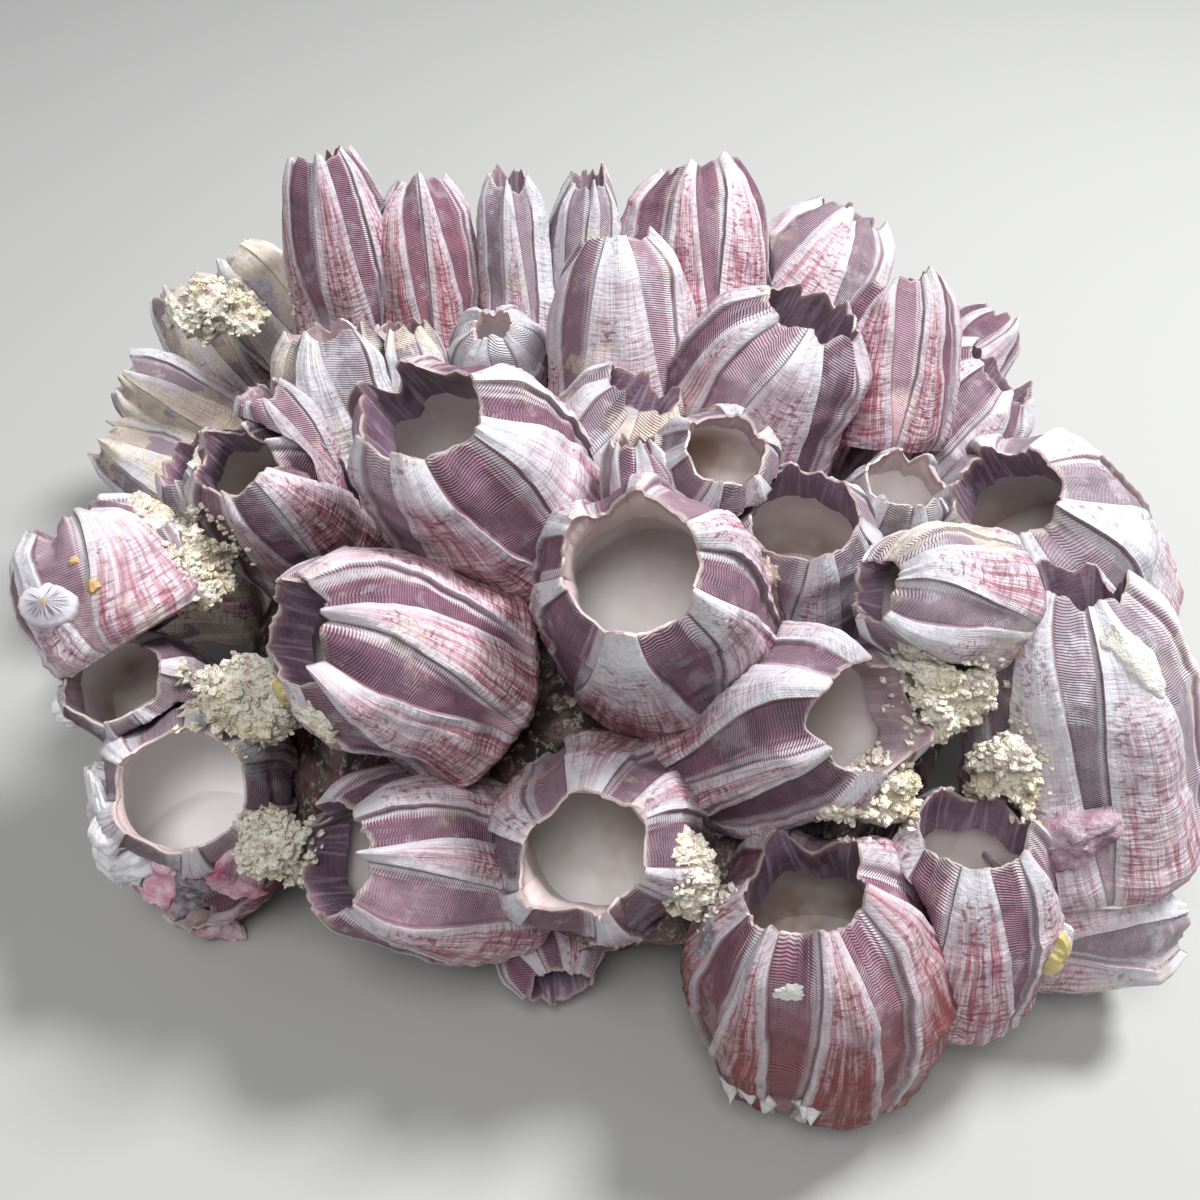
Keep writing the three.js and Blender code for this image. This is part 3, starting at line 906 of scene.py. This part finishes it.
# %% Crust and mat paint
CRUMB = colour(244, 239, 226)
CRUMB_SHADE = colour(214, 200, 178)
CRUMB_YELLOW = colour(236, 225, 194)
# Dark brown painted as shade in the gaps under the shells.
MAT_SHADE_BROWN = colour(78, 62, 62)
MAT_PALE = colour(140, 120, 118)


def crust_paint():
    p = Paint("sponge crust")
    place = p.place()
    crumbs = p.noise(place, 700, 4, 0.7)
    patches = p.noise(place, 110, 3)
    surface = p.mix(CRUMB, CRUMB_SHADE, crumbs.ramp(0.75, 0.1) * 0.7)
    surface = p.mix(surface, CRUMB_YELLOW, patches.ramp(0.5, 0.95) * 0.7)
    surface = p.mix(surface, ROSE, p.noise(place, 520, 2).ramp(0.8, 0.95) * 0.35)
    normal = p.bump(crumbs + p.grains(place, 1300) * 0.8, 0.0005, 0.9)
    return p.finish(Base_Color=surface, Roughness=0.95, Normal=normal, Specular_IOR_Level=0.15)


def mat_shade_paint():
    p = Paint("mat")
    place = p.place()
    crumbs = p.noise(place, 420, 5, 0.7)
    patches = p.noise(place, 90, 4, 0.6)
    # The mat's dark browns are painted shade: they keep the gaps between the shells dark like shadow.
    surface = p.mix(MAT_SHADE_BROWN, MAT_PALE, patches.ramp(0.35, 0.85))
    surface = p.mix(surface, CRUMB, crumbs.ramp(0.6, 0.95) * 0.5)
    surface = p.mix(surface, ROSE, p.noise(place, 140, 2).ramp(0.65, 0.95) * 0.3)
    normal = p.bump(crumbs, 0.0008, 0.9)
    return p.finish(Base_Color=surface, Roughness=0.92, Normal=normal, Specular_IOR_Level=0.15)


wall, lining, crust, mat_shade_finish = wall_paint(), lining_paint(), crust_paint(), mat_shade_paint()
print("paints:", [m.name for m in (wall, lining, crust, mat_shade_finish)])

# %% [markdown]
# ## Each shell's own look
# Barnacles of one mound differ: young ones are rosy, old ones bleached, some are grey or covered in a
# cream scale, and some cavities are painted brown deep down as shade. The slot that the record gives a
# shell sets its usual look, and the shells that stand out have their own.

# %% Build all shells
# In each look, the value for the cavity floor sets how much brown painted shade lies deep in the cavity.
LOOKS = {
    "plum_shell": dict(rosy=0.3, pale=0.0, grey=0.0, silt=0.4, bare=0.0, crusted=0.12),
    "rose_shell": dict(rosy=0.8, pale=0.0, grey=0.0, silt=0.5, bare=0.0, crusted=0.1),
    "bleached_shell": dict(rosy=0.1, pale=0.75, grey=0.1, silt=0.3, bare=0.6, crusted=0.3),
}
ODD_LOOKS = {
    "shell_crown_1": dict(rosy=0.45, grey=0.1, silt=0.25, bare=0.75),
    "shell_crown_2": dict(rosy=0.45, silt=0.15),
    "shell_crown_3": dict(rosy=0.25, grey=0.2, silt=0.3, bare=0.3),
    "shell_crown_5": dict(rosy=0.2, grey=0.1),
    "shell_crown_7": dict(rosy=0.15, pale=0.25, grey=0.3, silt=0.9),
    "shell_crown_8": dict(rosy=0.5),
    "shell_crown_9": dict(rosy=0.15, pale=0.1, grey=0.4, silt=0.9, bare=0.4, crusted=0.25),
    "shell_crown_10": dict(rosy=0.1, pale=0.3, grey=0.3, silt=0.9, crusted=0.3),
    "shell_front_1": dict(rosy=0.35, grey=0.25, silt=0.5, bare=0.9),
    "shell_front_2": dict(rosy=1.5, silt=0.95, crusted=0.05),
    "shell_front_3": dict(rosy=0.6, silt=0.8),
    "shell_front_4": dict(rosy=0.45, grey=0.05, silt=0.6),
    "shell_front_5": dict(rosy=0.35, pale=0.05, grey=0.45, silt=0.0, bare=1.0),
    "shell_small_3": dict(rosy=0.0, pale=1.2, grey=0.0, silt=0.0, bare=1.0, crusted=0.0),
    "shell_small_5": dict(rosy=1.5, pale=-0.1, silt=0.0, bare=1.0),
    "shell_right_1": dict(rosy=0.15, pale=0.4, grey=0.1, crusted=0.18),
    "shell_right_2": dict(rosy=0.25, pale=0.3, grey=0.1, silt=0.5),
    "shell_right_3": dict(rosy=0.6, pale=0.1),
    "shell_right_4": dict(rosy=0.7),
    "shell_right_6": dict(rosy=0.35, pale=0.4, silt=0.9, crusted=0.35),
    "shell_right_8": dict(rosy=0.5, pale=0.45, crusted=0.3),
    "shell_left_1": dict(rosy=0.35, pale=0.15),
    "shell_left_2": dict(rosy=0.35, grey=0.5, silt=0.9, bare=0.3, crusted=0.3),
    "shell_left_3": dict(rosy=0.6, pale=0.45, crusted=0.5),
    "shell_left_6": dict(rosy=0.4, pale=0.5, grey=0.1, crusted=0.6),
    "shell_left_7": dict(rosy=0.4, pale=0.5, silt=0.9, crusted=0.55),
    "shell_left_4": dict(rosy=0.3, pale=0.4, crusted=0.6),
    "shell_left_5": dict(rosy=0.3, pale=0.4, crusted=0.6),
    "shell_left_8": dict(rosy=0.3, pale=0.3, crusted=0.5),
    "shell_left_9": dict(rosy=0.3, pale=0.3, crusted=0.5),
    "shell_crown_6": dict(rosy=0.5, pale=0.1, crusted=0.25),
    "shell_back_2": dict(rosy=1.1),
    "shell_back_3": dict(rosy=0.7),
    "shell_back_4": dict(rosy=0.2, pale=0.35, grey=0.2),
    "shell_back_5": dict(rosy=0.2, pale=0.3, grey=0.3),
    "shell_back_6": dict(rosy=0.6, pale=0.3),
    "shell_back_7": dict(rosy=0.1, pale=0.4, grey=0.8, crusted=0.4),
    "shell_back_12": dict(rosy=0.1, pale=0.5, grey=0.6, crusted=0.5),
}


PRESSED_WALL = {"shell_right_8": 0.6}
SETTLED_LAST = ("shell_small_1", "shell_small_2", "shell_small_3")


def older_than(number):
    if shells[number]["node"] in SETTLED_LAST:
        return [s for s in shells if s["node"] not in SETTLED_LAST]
    return [s for s in shells[:number] if s["node"] not in SETTLED_LAST]


def build_shell(number, shell):
    points, facts = shell_rows(shell)
    within = facts.pop("within")
    points = press(points, within, older_than(number), wall=PRESSED_WALL.get(shell["node"], 1.6))
    points[..., 2] = np.maximum(points[..., 2], 0.0)
    rows, columns = points.shape[:2]
    centre_low = points[0].mean(axis=0)
    centre_high = points[-1].mean(axis=0)
    skin = np.concatenate([[centre_low], points.reshape(-1, 3), [centre_high]])
    faces = closed_rows(rows, columns)
    flat = {k: np.concatenate([[v[0].mean()], v.ravel(), [v[-1].mean()]]) for k, v in facts.items()}
    look = LOOKS[slot_of(shell["node"])] | ODD_LOOKS.get(shell["node"], {})
    look["dark"] = between(-0.3, 0.4, shell["seed"], 9)
    for key, value in look.items():
        flat[key] = np.full(len(skin), value)
    piece = make_object(shell["node"].replace("shell_", "barnacle_"), skin, faces, flat, wall)
    piece.data.materials.append(lining)
    inner_start = 1 + (within[:, 0] > 0).argmax() * columns
    polygon_material = [1 if min(f) >= inner_start - columns and max(f) >= inner_start else 0 for f in faces]
    piece.data.polygons.foreach_set("material_index", polygon_material)
    piece.data.set_sharp_from_angle(angle=CREASE)
    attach(piece, "root")
    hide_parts(shell["node"])
    slot_of(shell["node"])
    return piece


barnacles = {shell["node"]: build_shell(i, shell) for i, shell in enumerate(shells)}
shell_by_node = {shell["node"]: shell for shell in shells}
print("barnacles:", len(barnacles), "faces", sum(len(b.data.polygons) for b in barnacles.values()))

# %% [markdown]
# ## Mat and crust as meshes
# Both start from their plain solids. A voxel remesh gives them an even, fine skin, and noise at several
# sizes pushes that skin in and out.

# %% Rough skins


def fine_skin(node, voxel):
    source = frame["nodes"][node]
    mesh = source.data.copy()
    scratch = bpy.data.objects.new("scratch", mesh)
    bpy.context.scene.collection.objects.link(scratch)
    modifier = scratch.modifiers.new("even", "REMESH")
    modifier.mode = "VOXEL"
    modifier.voxel_size = voxel * 0.001
    depsgraph = bpy.context.evaluated_depsgraph_get()
    made = scratch.evaluated_get(depsgraph).to_mesh()
    points = np.array([v.co for v in made.vertices]) * 1000
    normals = np.array([v.normal for v in made.vertices])
    faces = [tuple(p.vertices) for p in made.polygons]
    scratch.evaluated_get(depsgraph).to_mesh_clear()
    bpy.data.objects.remove(scratch)
    bpy.data.meshes.remove(mesh)
    return points, normals, faces


def rough_piece(node, name, voxel, sizes, depths, material, sink=0.0):
    points, normals, faces = fine_skin(node, voxel)
    push = -sink
    for number, (size, depth) in enumerate(zip(sizes, depths)):
        push = push + depth * wander(points, size, 17 + number)
    points = points + normals * push[:, None]
    piece = make_object(name, points, faces, {}, material)
    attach(piece, "root")
    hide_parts(node)
    slot_of(node)
    return piece


rough_piece("sponge_mat", "mat", 1.8, (9, 4, 2.6), (1.0, 0.7, 0.45), mat_shade_finish, sink=1.2)
PATCH_SINK = {"crust_patch_8": 3.0, "crust_patch_7": 1.5}
patch_nodes = [s["node"] for s in frame["record"]["subparts"] if s["node"].startswith("crust_patch")]
patches = [
    rough_piece(
        node, node.replace("_patch", ""), 0.6, (7, 3, 1.0), (2.8, 1.3, 0.7), crust, PATCH_SINK.get(node, 1.1)
    )
    for node in patch_nodes
]
print("patches:", len(patches), "faces", sum(len(p.data.polygons) for p in patches))

# %% [markdown]
# ## Crumbs
# Dry sponge doesn't end in a clean outline. It crumbles, and the crumbs stick to the shells around it.
# Each patch gets loose crumbs: small rough stones set on the nearest surface, fewer further out.

# %% Crumbs round the patches
ROCK = bmesh.new()
bmesh.ops.create_icosphere(ROCK, subdivisions=1, radius=1)
ROCK_POINTS = np.array([v.co for v in ROCK.verts])
ROCK_FACES = np.array([[v.index for v in f.verts] for f in ROCK.faces])
ROCK.free()


def nearest_skin(point, pieces):
    """The nearest point, and the way out, on the skins of some pieces. All in millimetres."""
    best = (1e9, None, None)
    for piece in pieces:
        found, place, normal, _ = piece.closest_point_on_mesh(Vector(point) * 0.001)
        gap = (place * 1000 - Vector(point)).length
        if found and gap < best[0]:
            best = (gap, np.array(place) * 1000, np.array(normal))
    return best[1], best[2]


def neighbours_of(point, count=4):
    order = sorted(shells, key=lambda s: np.linalg.norm(s["foot"] + s["axis"] * s["length"] / 2 - point))
    return [barnacles[s["node"]] for s in order[:count]]


def crumbs(number, patch, count=420):
    low, high = (np.array(corner) * 1000 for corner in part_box(patch_nodes[number]))
    centre, half = (low + high) / 2, (high - low) / 2
    hosts = neighbours_of(centre, 5) + [patch]
    points, faces = [], []
    for k in range(count):
        lows = (-1, -1, -0.3)
        direction = np.array([between(low, 1, number, k, 1 + axis) for axis, low in enumerate(lows)])
        reach = 0.9 + 0.4 * chance(number, k, 4) ** 2
        start = centre + half * direction / np.linalg.norm(direction) * reach
        place, normal = nearest_skin(start, hosts)
        if np.linalg.norm(place - start) > 4 or place[2] < 1:
            continue
        size = between(0.25, 0.7, number, k, 5) + 0.5 * chance(number, k, 9) ** 6
        stone = ROCK_POINTS * (1 + 0.45 * wander(ROCK_POINTS * 9 + k * 3.7, 6, k)[:, None])
        stone = stone * (between(0.6, 1.6, k, 6), between(0.6, 1.6, k, 7), between(0.5, 1.1, k, 8)) * size
        faces.append(ROCK_FACES + len(points) * len(ROCK_POINTS))
        points.append(stone + place + normal * size * 0.3)
    name = f"crumbs_{number + 1}"
    piece = make_object(name, np.concatenate(points), np.concatenate(faces).tolist(), {}, crust)
    piece.data.shade_flat()
    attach(piece, "root")
    return piece


loose = [crumbs(i, patch) for i, patch in enumerate(patches)]
print("crumbs: faces", sum(len(c.data.polygons) for c in loose))

# %% [markdown]
# ## Scars, riders and broken edges
# Some marks belong to one shell only. A scar is a smooth pale patch where something was torn off. It is
# laid on the shell's own skin as a thin pad with a wavering outline. One shell carries a small limpet.

# %% Pads on the skin


def place_on(node, degrees, share):
    """A point on a shell's skin at an angle round its axis and a share of its length, and the way out."""
    shell = shell_by_node[node]
    angle = np.array([math.radians(degrees)])
    height = np.array([share])
    radius = form_radius(shell, height, angle) + 3
    start = to_world(shell, radius, angle, height, height * shell["length"])[0]
    return nearest_skin(start, [barnacles[node]])


PAD_RINGS, PAD_SIDES = 10, 56


def pad(
    name, node, degrees, share, sizes, thick, finish, turn=0.0, ragged=0.12, lumps=0.1, lip=0.0, seed=1
):
    """A thin pad that follows the skin. sizes are its half widths, turn its angle on the skin.
    lip lifts its lower edge off the skin, like a shingle."""
    rings, sides = PAD_RINGS, PAD_SIDES
    centre, out = place_on(node, degrees, share)
    along = shell_by_node[node]["axis"] - out * (shell_by_node[node]["axis"] @ out)
    along = along / np.linalg.norm(along)
    side = np.cross(along, out)
    points, faces = [], []
    for ring in range(rings + 1):
        reach = 1 - (ring / rings) ** 1.5 if ring < rings else 0.02
        for k in range(sides):
            angle = 2 * math.pi * k / sides
            uneven = math.sin(3 * angle + seed) + 0.6 * math.sin(7 * angle + 2 * seed)
            uneven += 0.6 * math.sin(13 * angle - seed)
            x = sizes[0] * reach * (1 + ragged * uneven) * math.cos(angle)
            y = sizes[1] * reach * (1 + ragged * uneven) * math.sin(angle)
            x, y = x * math.cos(turn) - y * math.sin(turn), x * math.sin(turn) + y * math.cos(turn)
            place, _ = nearest_skin(centre + side * x + along * y, [barnacles[node]])
            lift = -0.3 if ring == 0 else thick * (1 - reach**4) ** 0.5
            lift += lip * max(0.0, -y / sizes[1]) * (1 if ring else 0.5)
            lump = lumps * wander(place[None], 1.3, seed)[0] + 0.5 * lumps * wander(place[None], 0.6, seed)[0]
            points.append(place + out * (lift + lump * (ring > 0)))
    points.append(nearest_skin(centre, [barnacles[node]])[0] + out * thick)
    last = rings * sides
    for ring in range(rings):
        for k in range(sides):
            a, b = ring * sides + k, ring * sides + (k + 1) % sides
            faces.append((a, b, b + sides, a + sides))
    faces += [(last + k, last + (k + 1) % sides, last + sides) for k in range(sides)]
    piece = make_object(name, points, faces, {}, finish)
    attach(piece, "root")
    return piece


def plain_paint(name, main, second, size, rough, bump_depth=0.0003, gloss=0.3):
    p = Paint(name)
    place = p.place()
    cloud = p.noise(place, size, 4, 0.6)
    surface = p.mix(main, second, cloud)
    return p.finish(
        Base_Color=surface,
        Roughness=rough + cloud * 0.1,
        Normal=p.bump(p.noise(place, size * 4, 4, 0.7), bump_depth, 0.8),
        Specular_IOR_Level=gloss,
    )


scar_paint = plain_paint("scar", colour(214, 211, 203), colour(226, 224, 220), 160, 0.5)
amber_paint = plain_paint("amber jelly", colour(204, 188, 132), colour(184, 160, 96), 260, 0.3, 0.0001, 0.5)
orange_paint = plain_paint("orange crust", colour(206, 146, 74), colour(226, 196, 150), 300, 0.8)
bone_paint = plain_paint("bare shell", colour(226, 226, 226), colour(204, 200, 198), 140, 0.45)
chafed_paint = plain_paint("chafed wall", colour(196, 200, 206), colour(140, 118, 132), 520, 0.6)
rose_paint = plain_paint("rose fragment", colour(142, 100, 116), colour(212, 194, 202), 200, 0.6)
magenta_paint = plain_paint("magenta plate", colour(196, 112, 142), colour(240, 214, 224), 190, 0.5)
white_paint = plain_paint("white growth", colour(242, 243, 245), colour(224, 220, 224), 90, 0.4, 0.0002)
speckled_paint = plain_paint("speckled plate", colour(88, 82, 94), colour(186, 172, 180), 520, 0.55)

pad(
    "scar_right_1", "shell_right_1", 93, 0.87, (4.4, 9.0), 0.8, scar_paint, turn=0.5,
    ragged=0.05, seed=2
)
pad(
    "scar_front_2", "shell_front_2", -8, 0.9, (2.8, 1.8), 0.4, scar_paint, turn=0.3,
    seed=5
)
pad(
    "chafe_front_2", "shell_front_2", -74, 0.84, (2.2, 5.0), 0.15, chafed_paint,
    ragged=0.2, seed=8
)
pad("orange_spot", "shell_left_1", 62, 0.46, (1.9, 1.4), 0.7, orange_paint, seed=3)
pad("orange_speck", "shell_left_1", 66, 0.69, (1.0, 0.8), 0.5, orange_paint, seed=4)
pad("jelly_front_3", "shell_front_3", -165, 0.93, (2.0, 2.4), 1.2, amber_paint, seed=6)
pad("jelly_crown_4", "shell_crown_4", -78, 0.95, (1.6, 3.4), 1.4, amber_paint, seed=7)
pad(
    "fragment_right_1", "shell_right_1", 50, 0.26, (11.0, 5.4), 2.8, rose_paint,
    turn=0.5, ragged=0.05, lumps=0.9, seed=9
)
pad("jelly_foot", "shell_front_3", 134, 0.5, (3.0, 5.0), 2.2, amber_paint, lumps=0.5, seed=10)
pad(
    "chip_front_3", "shell_front_3", 148, 0.42, (3.0, 6.0), 2.4, bone_paint,
    ragged=0.2, seed=11
)
print("pads done")

# %% [markdown]
# The crust also runs out over the shells beside each gap as a thin ragged film.

# %% Films of crust
FILMS = [
    ("crown_4", -47, 0.86, (3.0, 6.0)),
    ("left_2", 17, 0.9, (3.5, 2.6)),
    ("front_5", 34, 0.93, (4.5, 4.0)),
    ("front_5", 66, 0.9, (5.5, 3.4)),
    ("left_1", 158, 0.5, (3.0, 5.0)),
    ("crown_7", -120, 0.9, (3.0, 4.0)),
    ("front_5", -34, 0.84, (3.0, 4.4)),
    ("front_1", 14, 0.84, (3.0, 4.2)),
    ("crown_3", -110, 0.88, (5.0, 3.4)),
    ("crown_3", -130, 0.84, (3.2, 3.6)),
    ("right_6", -30, 0.75, (4.4, 4.0)),
    ("right_1", -5, 0.72, (3.0, 6.0)),
    ("front_3", -168, 0.88, (2.6, 3.0)),
    ("left_1", 146, 0.72, (6.0, 3.0)),
    ("left_1", 150, 0.86, (4.0, 2.6)),
    ("left_1", 170, 0.35, (2.2, 7.0)),
    ("left_3", 42, 0.85, (4.0, 5.0)),
]
for number, (host, degrees, share, sizes) in enumerate(FILMS):
    pad(
        f"film_{number + 1}", "shell_" + host, degrees, share, sizes, 0.7, crust, ragged=0.22,
        lumps=0.8, seed=20 + number
    )

# %% [markdown]
# Low on the left a smooth white growth runs from the rim of the round shell down to the broken shell
# below it, and a chalky lump sits on the shell beside them.

# %% White growths
pad(
    "growth_rim", "shell_front_5", -162, 0.88, (5.6, 4.4), 2.0, white_paint,
    lumps=0.5, seed=31
)
pad(
    "growth_wall", "shell_front_5", -140, 0.66, (6.0, 9.0), 3.6, white_paint,
    turn=0.2, lumps=0.6, seed=32
)
pad(
    "growth_foot", "shell_small_5", 178, 0.85, (5.6, 7.0), 3.0, white_paint,
    lumps=0.6, lip=1.5, seed=33
)
pad(
    "lump_left_2", "shell_left_2", 205, 0.6, (4.0, 5.0), 3.4, white_paint, ragged=0.06,
    lumps=1.2, seed=34
)
pad(
    "lump_front_5", "shell_front_5", 163, 0.8, (5.0, 7.0), 5.0, white_paint, ragged=0.06,
    lumps=1.4, seed=35
)

# %% [markdown]
# Between them are torn wall plates of the broken shell, pink and grey, laid like shingles.

# %% Torn plates
SHINGLES = [
    ("front_5", -77, 0.66, (7.4, 9.0), magenta_paint),
    ("front_5", -101, 0.68, (4.8, 8.0), speckled_paint),
    ("front_5", -118, 0.68, (3.8, 8.0), magenta_paint),
    ("small_5", -150, 0.88, (5.2, 5.0), magenta_paint),
    ("small_5", -110, 0.86, (4.4, 4.4), white_paint),
    ("small_5", -62, 0.88, (5.6, 5.2), magenta_paint),
]
for number, (host, degrees, share, sizes, finish) in enumerate(SHINGLES):
    pad(
        f"shingle_{number + 1}", "shell_" + host, degrees, share, sizes, 1.8, finish,
        ragged=0.07, lip=6.0, seed=50 + number
    )

# %% [markdown]
# ## The limpet
# A small cone with fine ribs and dark rays sits on the left shell. It is a ring of points drawn in
# towards its tip; its foot goes down into the wall so that no gap shows under it.

# %% Limpet
DARK_RAY = colour(58, 56, 70)
LIMPET_PALE = colour(206, 200, 208)
LIMPET_TAN = colour(206, 176, 140)


def limpet_paint():
    p = Paint("limpet")
    spoke, height = p.fact("spoke"), p.fact("height")
    ray = p.noise(p.point(spoke * 0.8, height * 1.2, 0.0), 1, 3).ramp(0.4, 0.8) * height.ramp(0.15, 0.6)
    surface = p.mix(LIMPET_PALE, DARK_RAY, ray * 0.75)
    surface = p.mix(surface, LIMPET_TAN, height.ramp(0.85, 0.97))
    return p.finish(Base_Color=surface, Roughness=0.5, Normal=p.bump(ray, 0.0002, 0.6))


def limpet(node, degrees, share, radius, tall):
    centre, out = place_on(node, degrees, share)
    side = np.cross(out, [0, 0, 1])
    side = side / np.linalg.norm(side)
    up = np.cross(side, out)
    sides, rings = 64, 12
    points, spokes, heights, faces = [], [], [], []
    for ring in range(rings):
        level = ring / rings
        for k in range(sides):
            angle = 2 * math.pi * k / sides
            rib = 1 + (0.018 * math.cos(19 * angle) + 0.05 * math.sin(2 * angle + 1)) * (1 - level)
            reach = radius * (1 - level) ** 0.9 * rib
            lift = tall * level**0.85 - 0.5 * (1 - level)
            spot = centre + side * reach * math.cos(angle) + up * reach * 0.82 * math.sin(angle)
            points.append(spot + out * (lift if ring else -3.0))
            spokes.append(math.cos(angle) * 6 + math.sin(angle) * 17)
            heights.append(level)
    points.append(centre + out * tall)
    spokes.append(0.0)
    heights.append(1.0)
    for ring in range(rings - 1):
        for k in range(sides):
            a, b = ring * sides + k, ring * sides + (k + 1) % sides
            faces.append((a, b, b + sides, a + sides))
    last = (rings - 1) * sides
    faces += [(last + k, last + (k + 1) % sides, last + sides) for k in range(sides)]
    piece = make_object("limpet", points, faces, dict(spoke=spokes, height=heights), limpet_paint())
    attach(piece, "root")


limpet("shell_left_1", 40, 0.52, 5.8, 2.3)

# %% [markdown]
# ## The broken foot in front
# The front shell was broken off its ground. White shards of its foot stick out below the rosy wall.

# %% Shards


def shards(name, node, first, last, count, share, long, wide, finish, seed):
    """Thin pointed shards round a shell's foot, from one angle to another, leaning outwards."""
    shell = shell_by_node[node]
    points, faces = [], []
    for k in range(count):
        degrees = first + (last - first) * (k + between(-0.3, 0.3, seed, k)) / max(count - 1, 1)
        centre, out = place_on(node, degrees, share)
        down = -shell["axis"]
        side = np.cross(down, out)
        side = side / np.linalg.norm(side)
        length, width = long * between(0.5, 1.2, seed, k, 1), wide * between(0.6, 1.2, seed, k, 2)
        base = len(points)
        for row in range(7):
            level = row / 6
            half = width * (1 - level**1.4) + 0.12
            middle = centre - out * 1.0 + down * length * level + out * length * 0.35 * level**1.5
            for x, y in ((-1, 0), (-0.5, 0.7), (0, 0.95), (0.5, 0.7), (1, 0), (0, -0.5)):
                thick = 0.9 * (1 - 0.6 * level)
                rough = 0.25 * wander(np.array([[x + k * 3, y, row * 0.6]]), 0.9, seed)[0]
                points.append(middle + side * (x * half + rough) + out * (y * thick + rough))
        for row in range(6):
            for c in range(6):
                a, b = base + row * 6 + c, base + row * 6 + (c + 1) % 6
                faces.append((a, b, b + 6, a + 6))
        faces.append(tuple(base + c for c in range(5, -1, -1)))
        faces.append(tuple(base + 36 + c for c in range(6)))
    piece = make_object(name, points, faces, {}, finish)
    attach(piece, "root")


shards("foot_shards", "shell_front_2", -38, -2, 8, 0.34, 5.5, 3.4, bone_paint, 3)
print("riders done")

# %% [markdown]
# ## Floor and light
# A pale floor and soft light from a large overhead panel, with a weaker fill from the front.

# %% Floor and lights
floor_mesh = bpy.data.meshes.new("floor")
floor_mesh.from_pydata([(-3, -3, 0), (3, -3, 0), (3, 3, 0), (-3, 3, 0)], [], [(0, 1, 2, 3)])
floor = bpy.data.objects.new("floor", floor_mesh)
floor_paint = Paint("floor")
floor_mesh.materials.append(floor_paint.finish(Base_Color=colour(172, 172, 170), Roughness=0.8))
bpy.context.scene.collection.objects.link(floor)


def panel_light(name, place, target, size, power, tint=(1, 1, 1)):
    light = bpy.data.lights.new(name, "AREA")
    light.shape = "DISK"
    light.size, light.energy, light.color = size, power, tint
    lamp = bpy.data.objects.new(name, light)
    lamp.location = place
    lamp.rotation_euler = (Vector(target) - Vector(place)).to_track_quat("-Z", "Y").to_euler()
    bpy.context.scene.collection.objects.link(lamp)


panel_light("key", (0.45, 0.22, 0.85), (0, 0, 0.04), 0.25, 13, (0.98, 0.99, 1.0))
panel_light("fill", (-0.1, -0.45, 1.05), (0, 0, 0.04), 0.5, 6.5, (1.0, 1.0, 1.0))
world = bpy.data.worlds.new("soft")
world.use_nodes = True
world.node_tree.nodes["Background"].inputs["Color"].default_value = (0.95, 0.98, 1, 1)
world.node_tree.nodes["Background"].inputs["Strength"].default_value = 0.25
bpy.context.scene.world = world
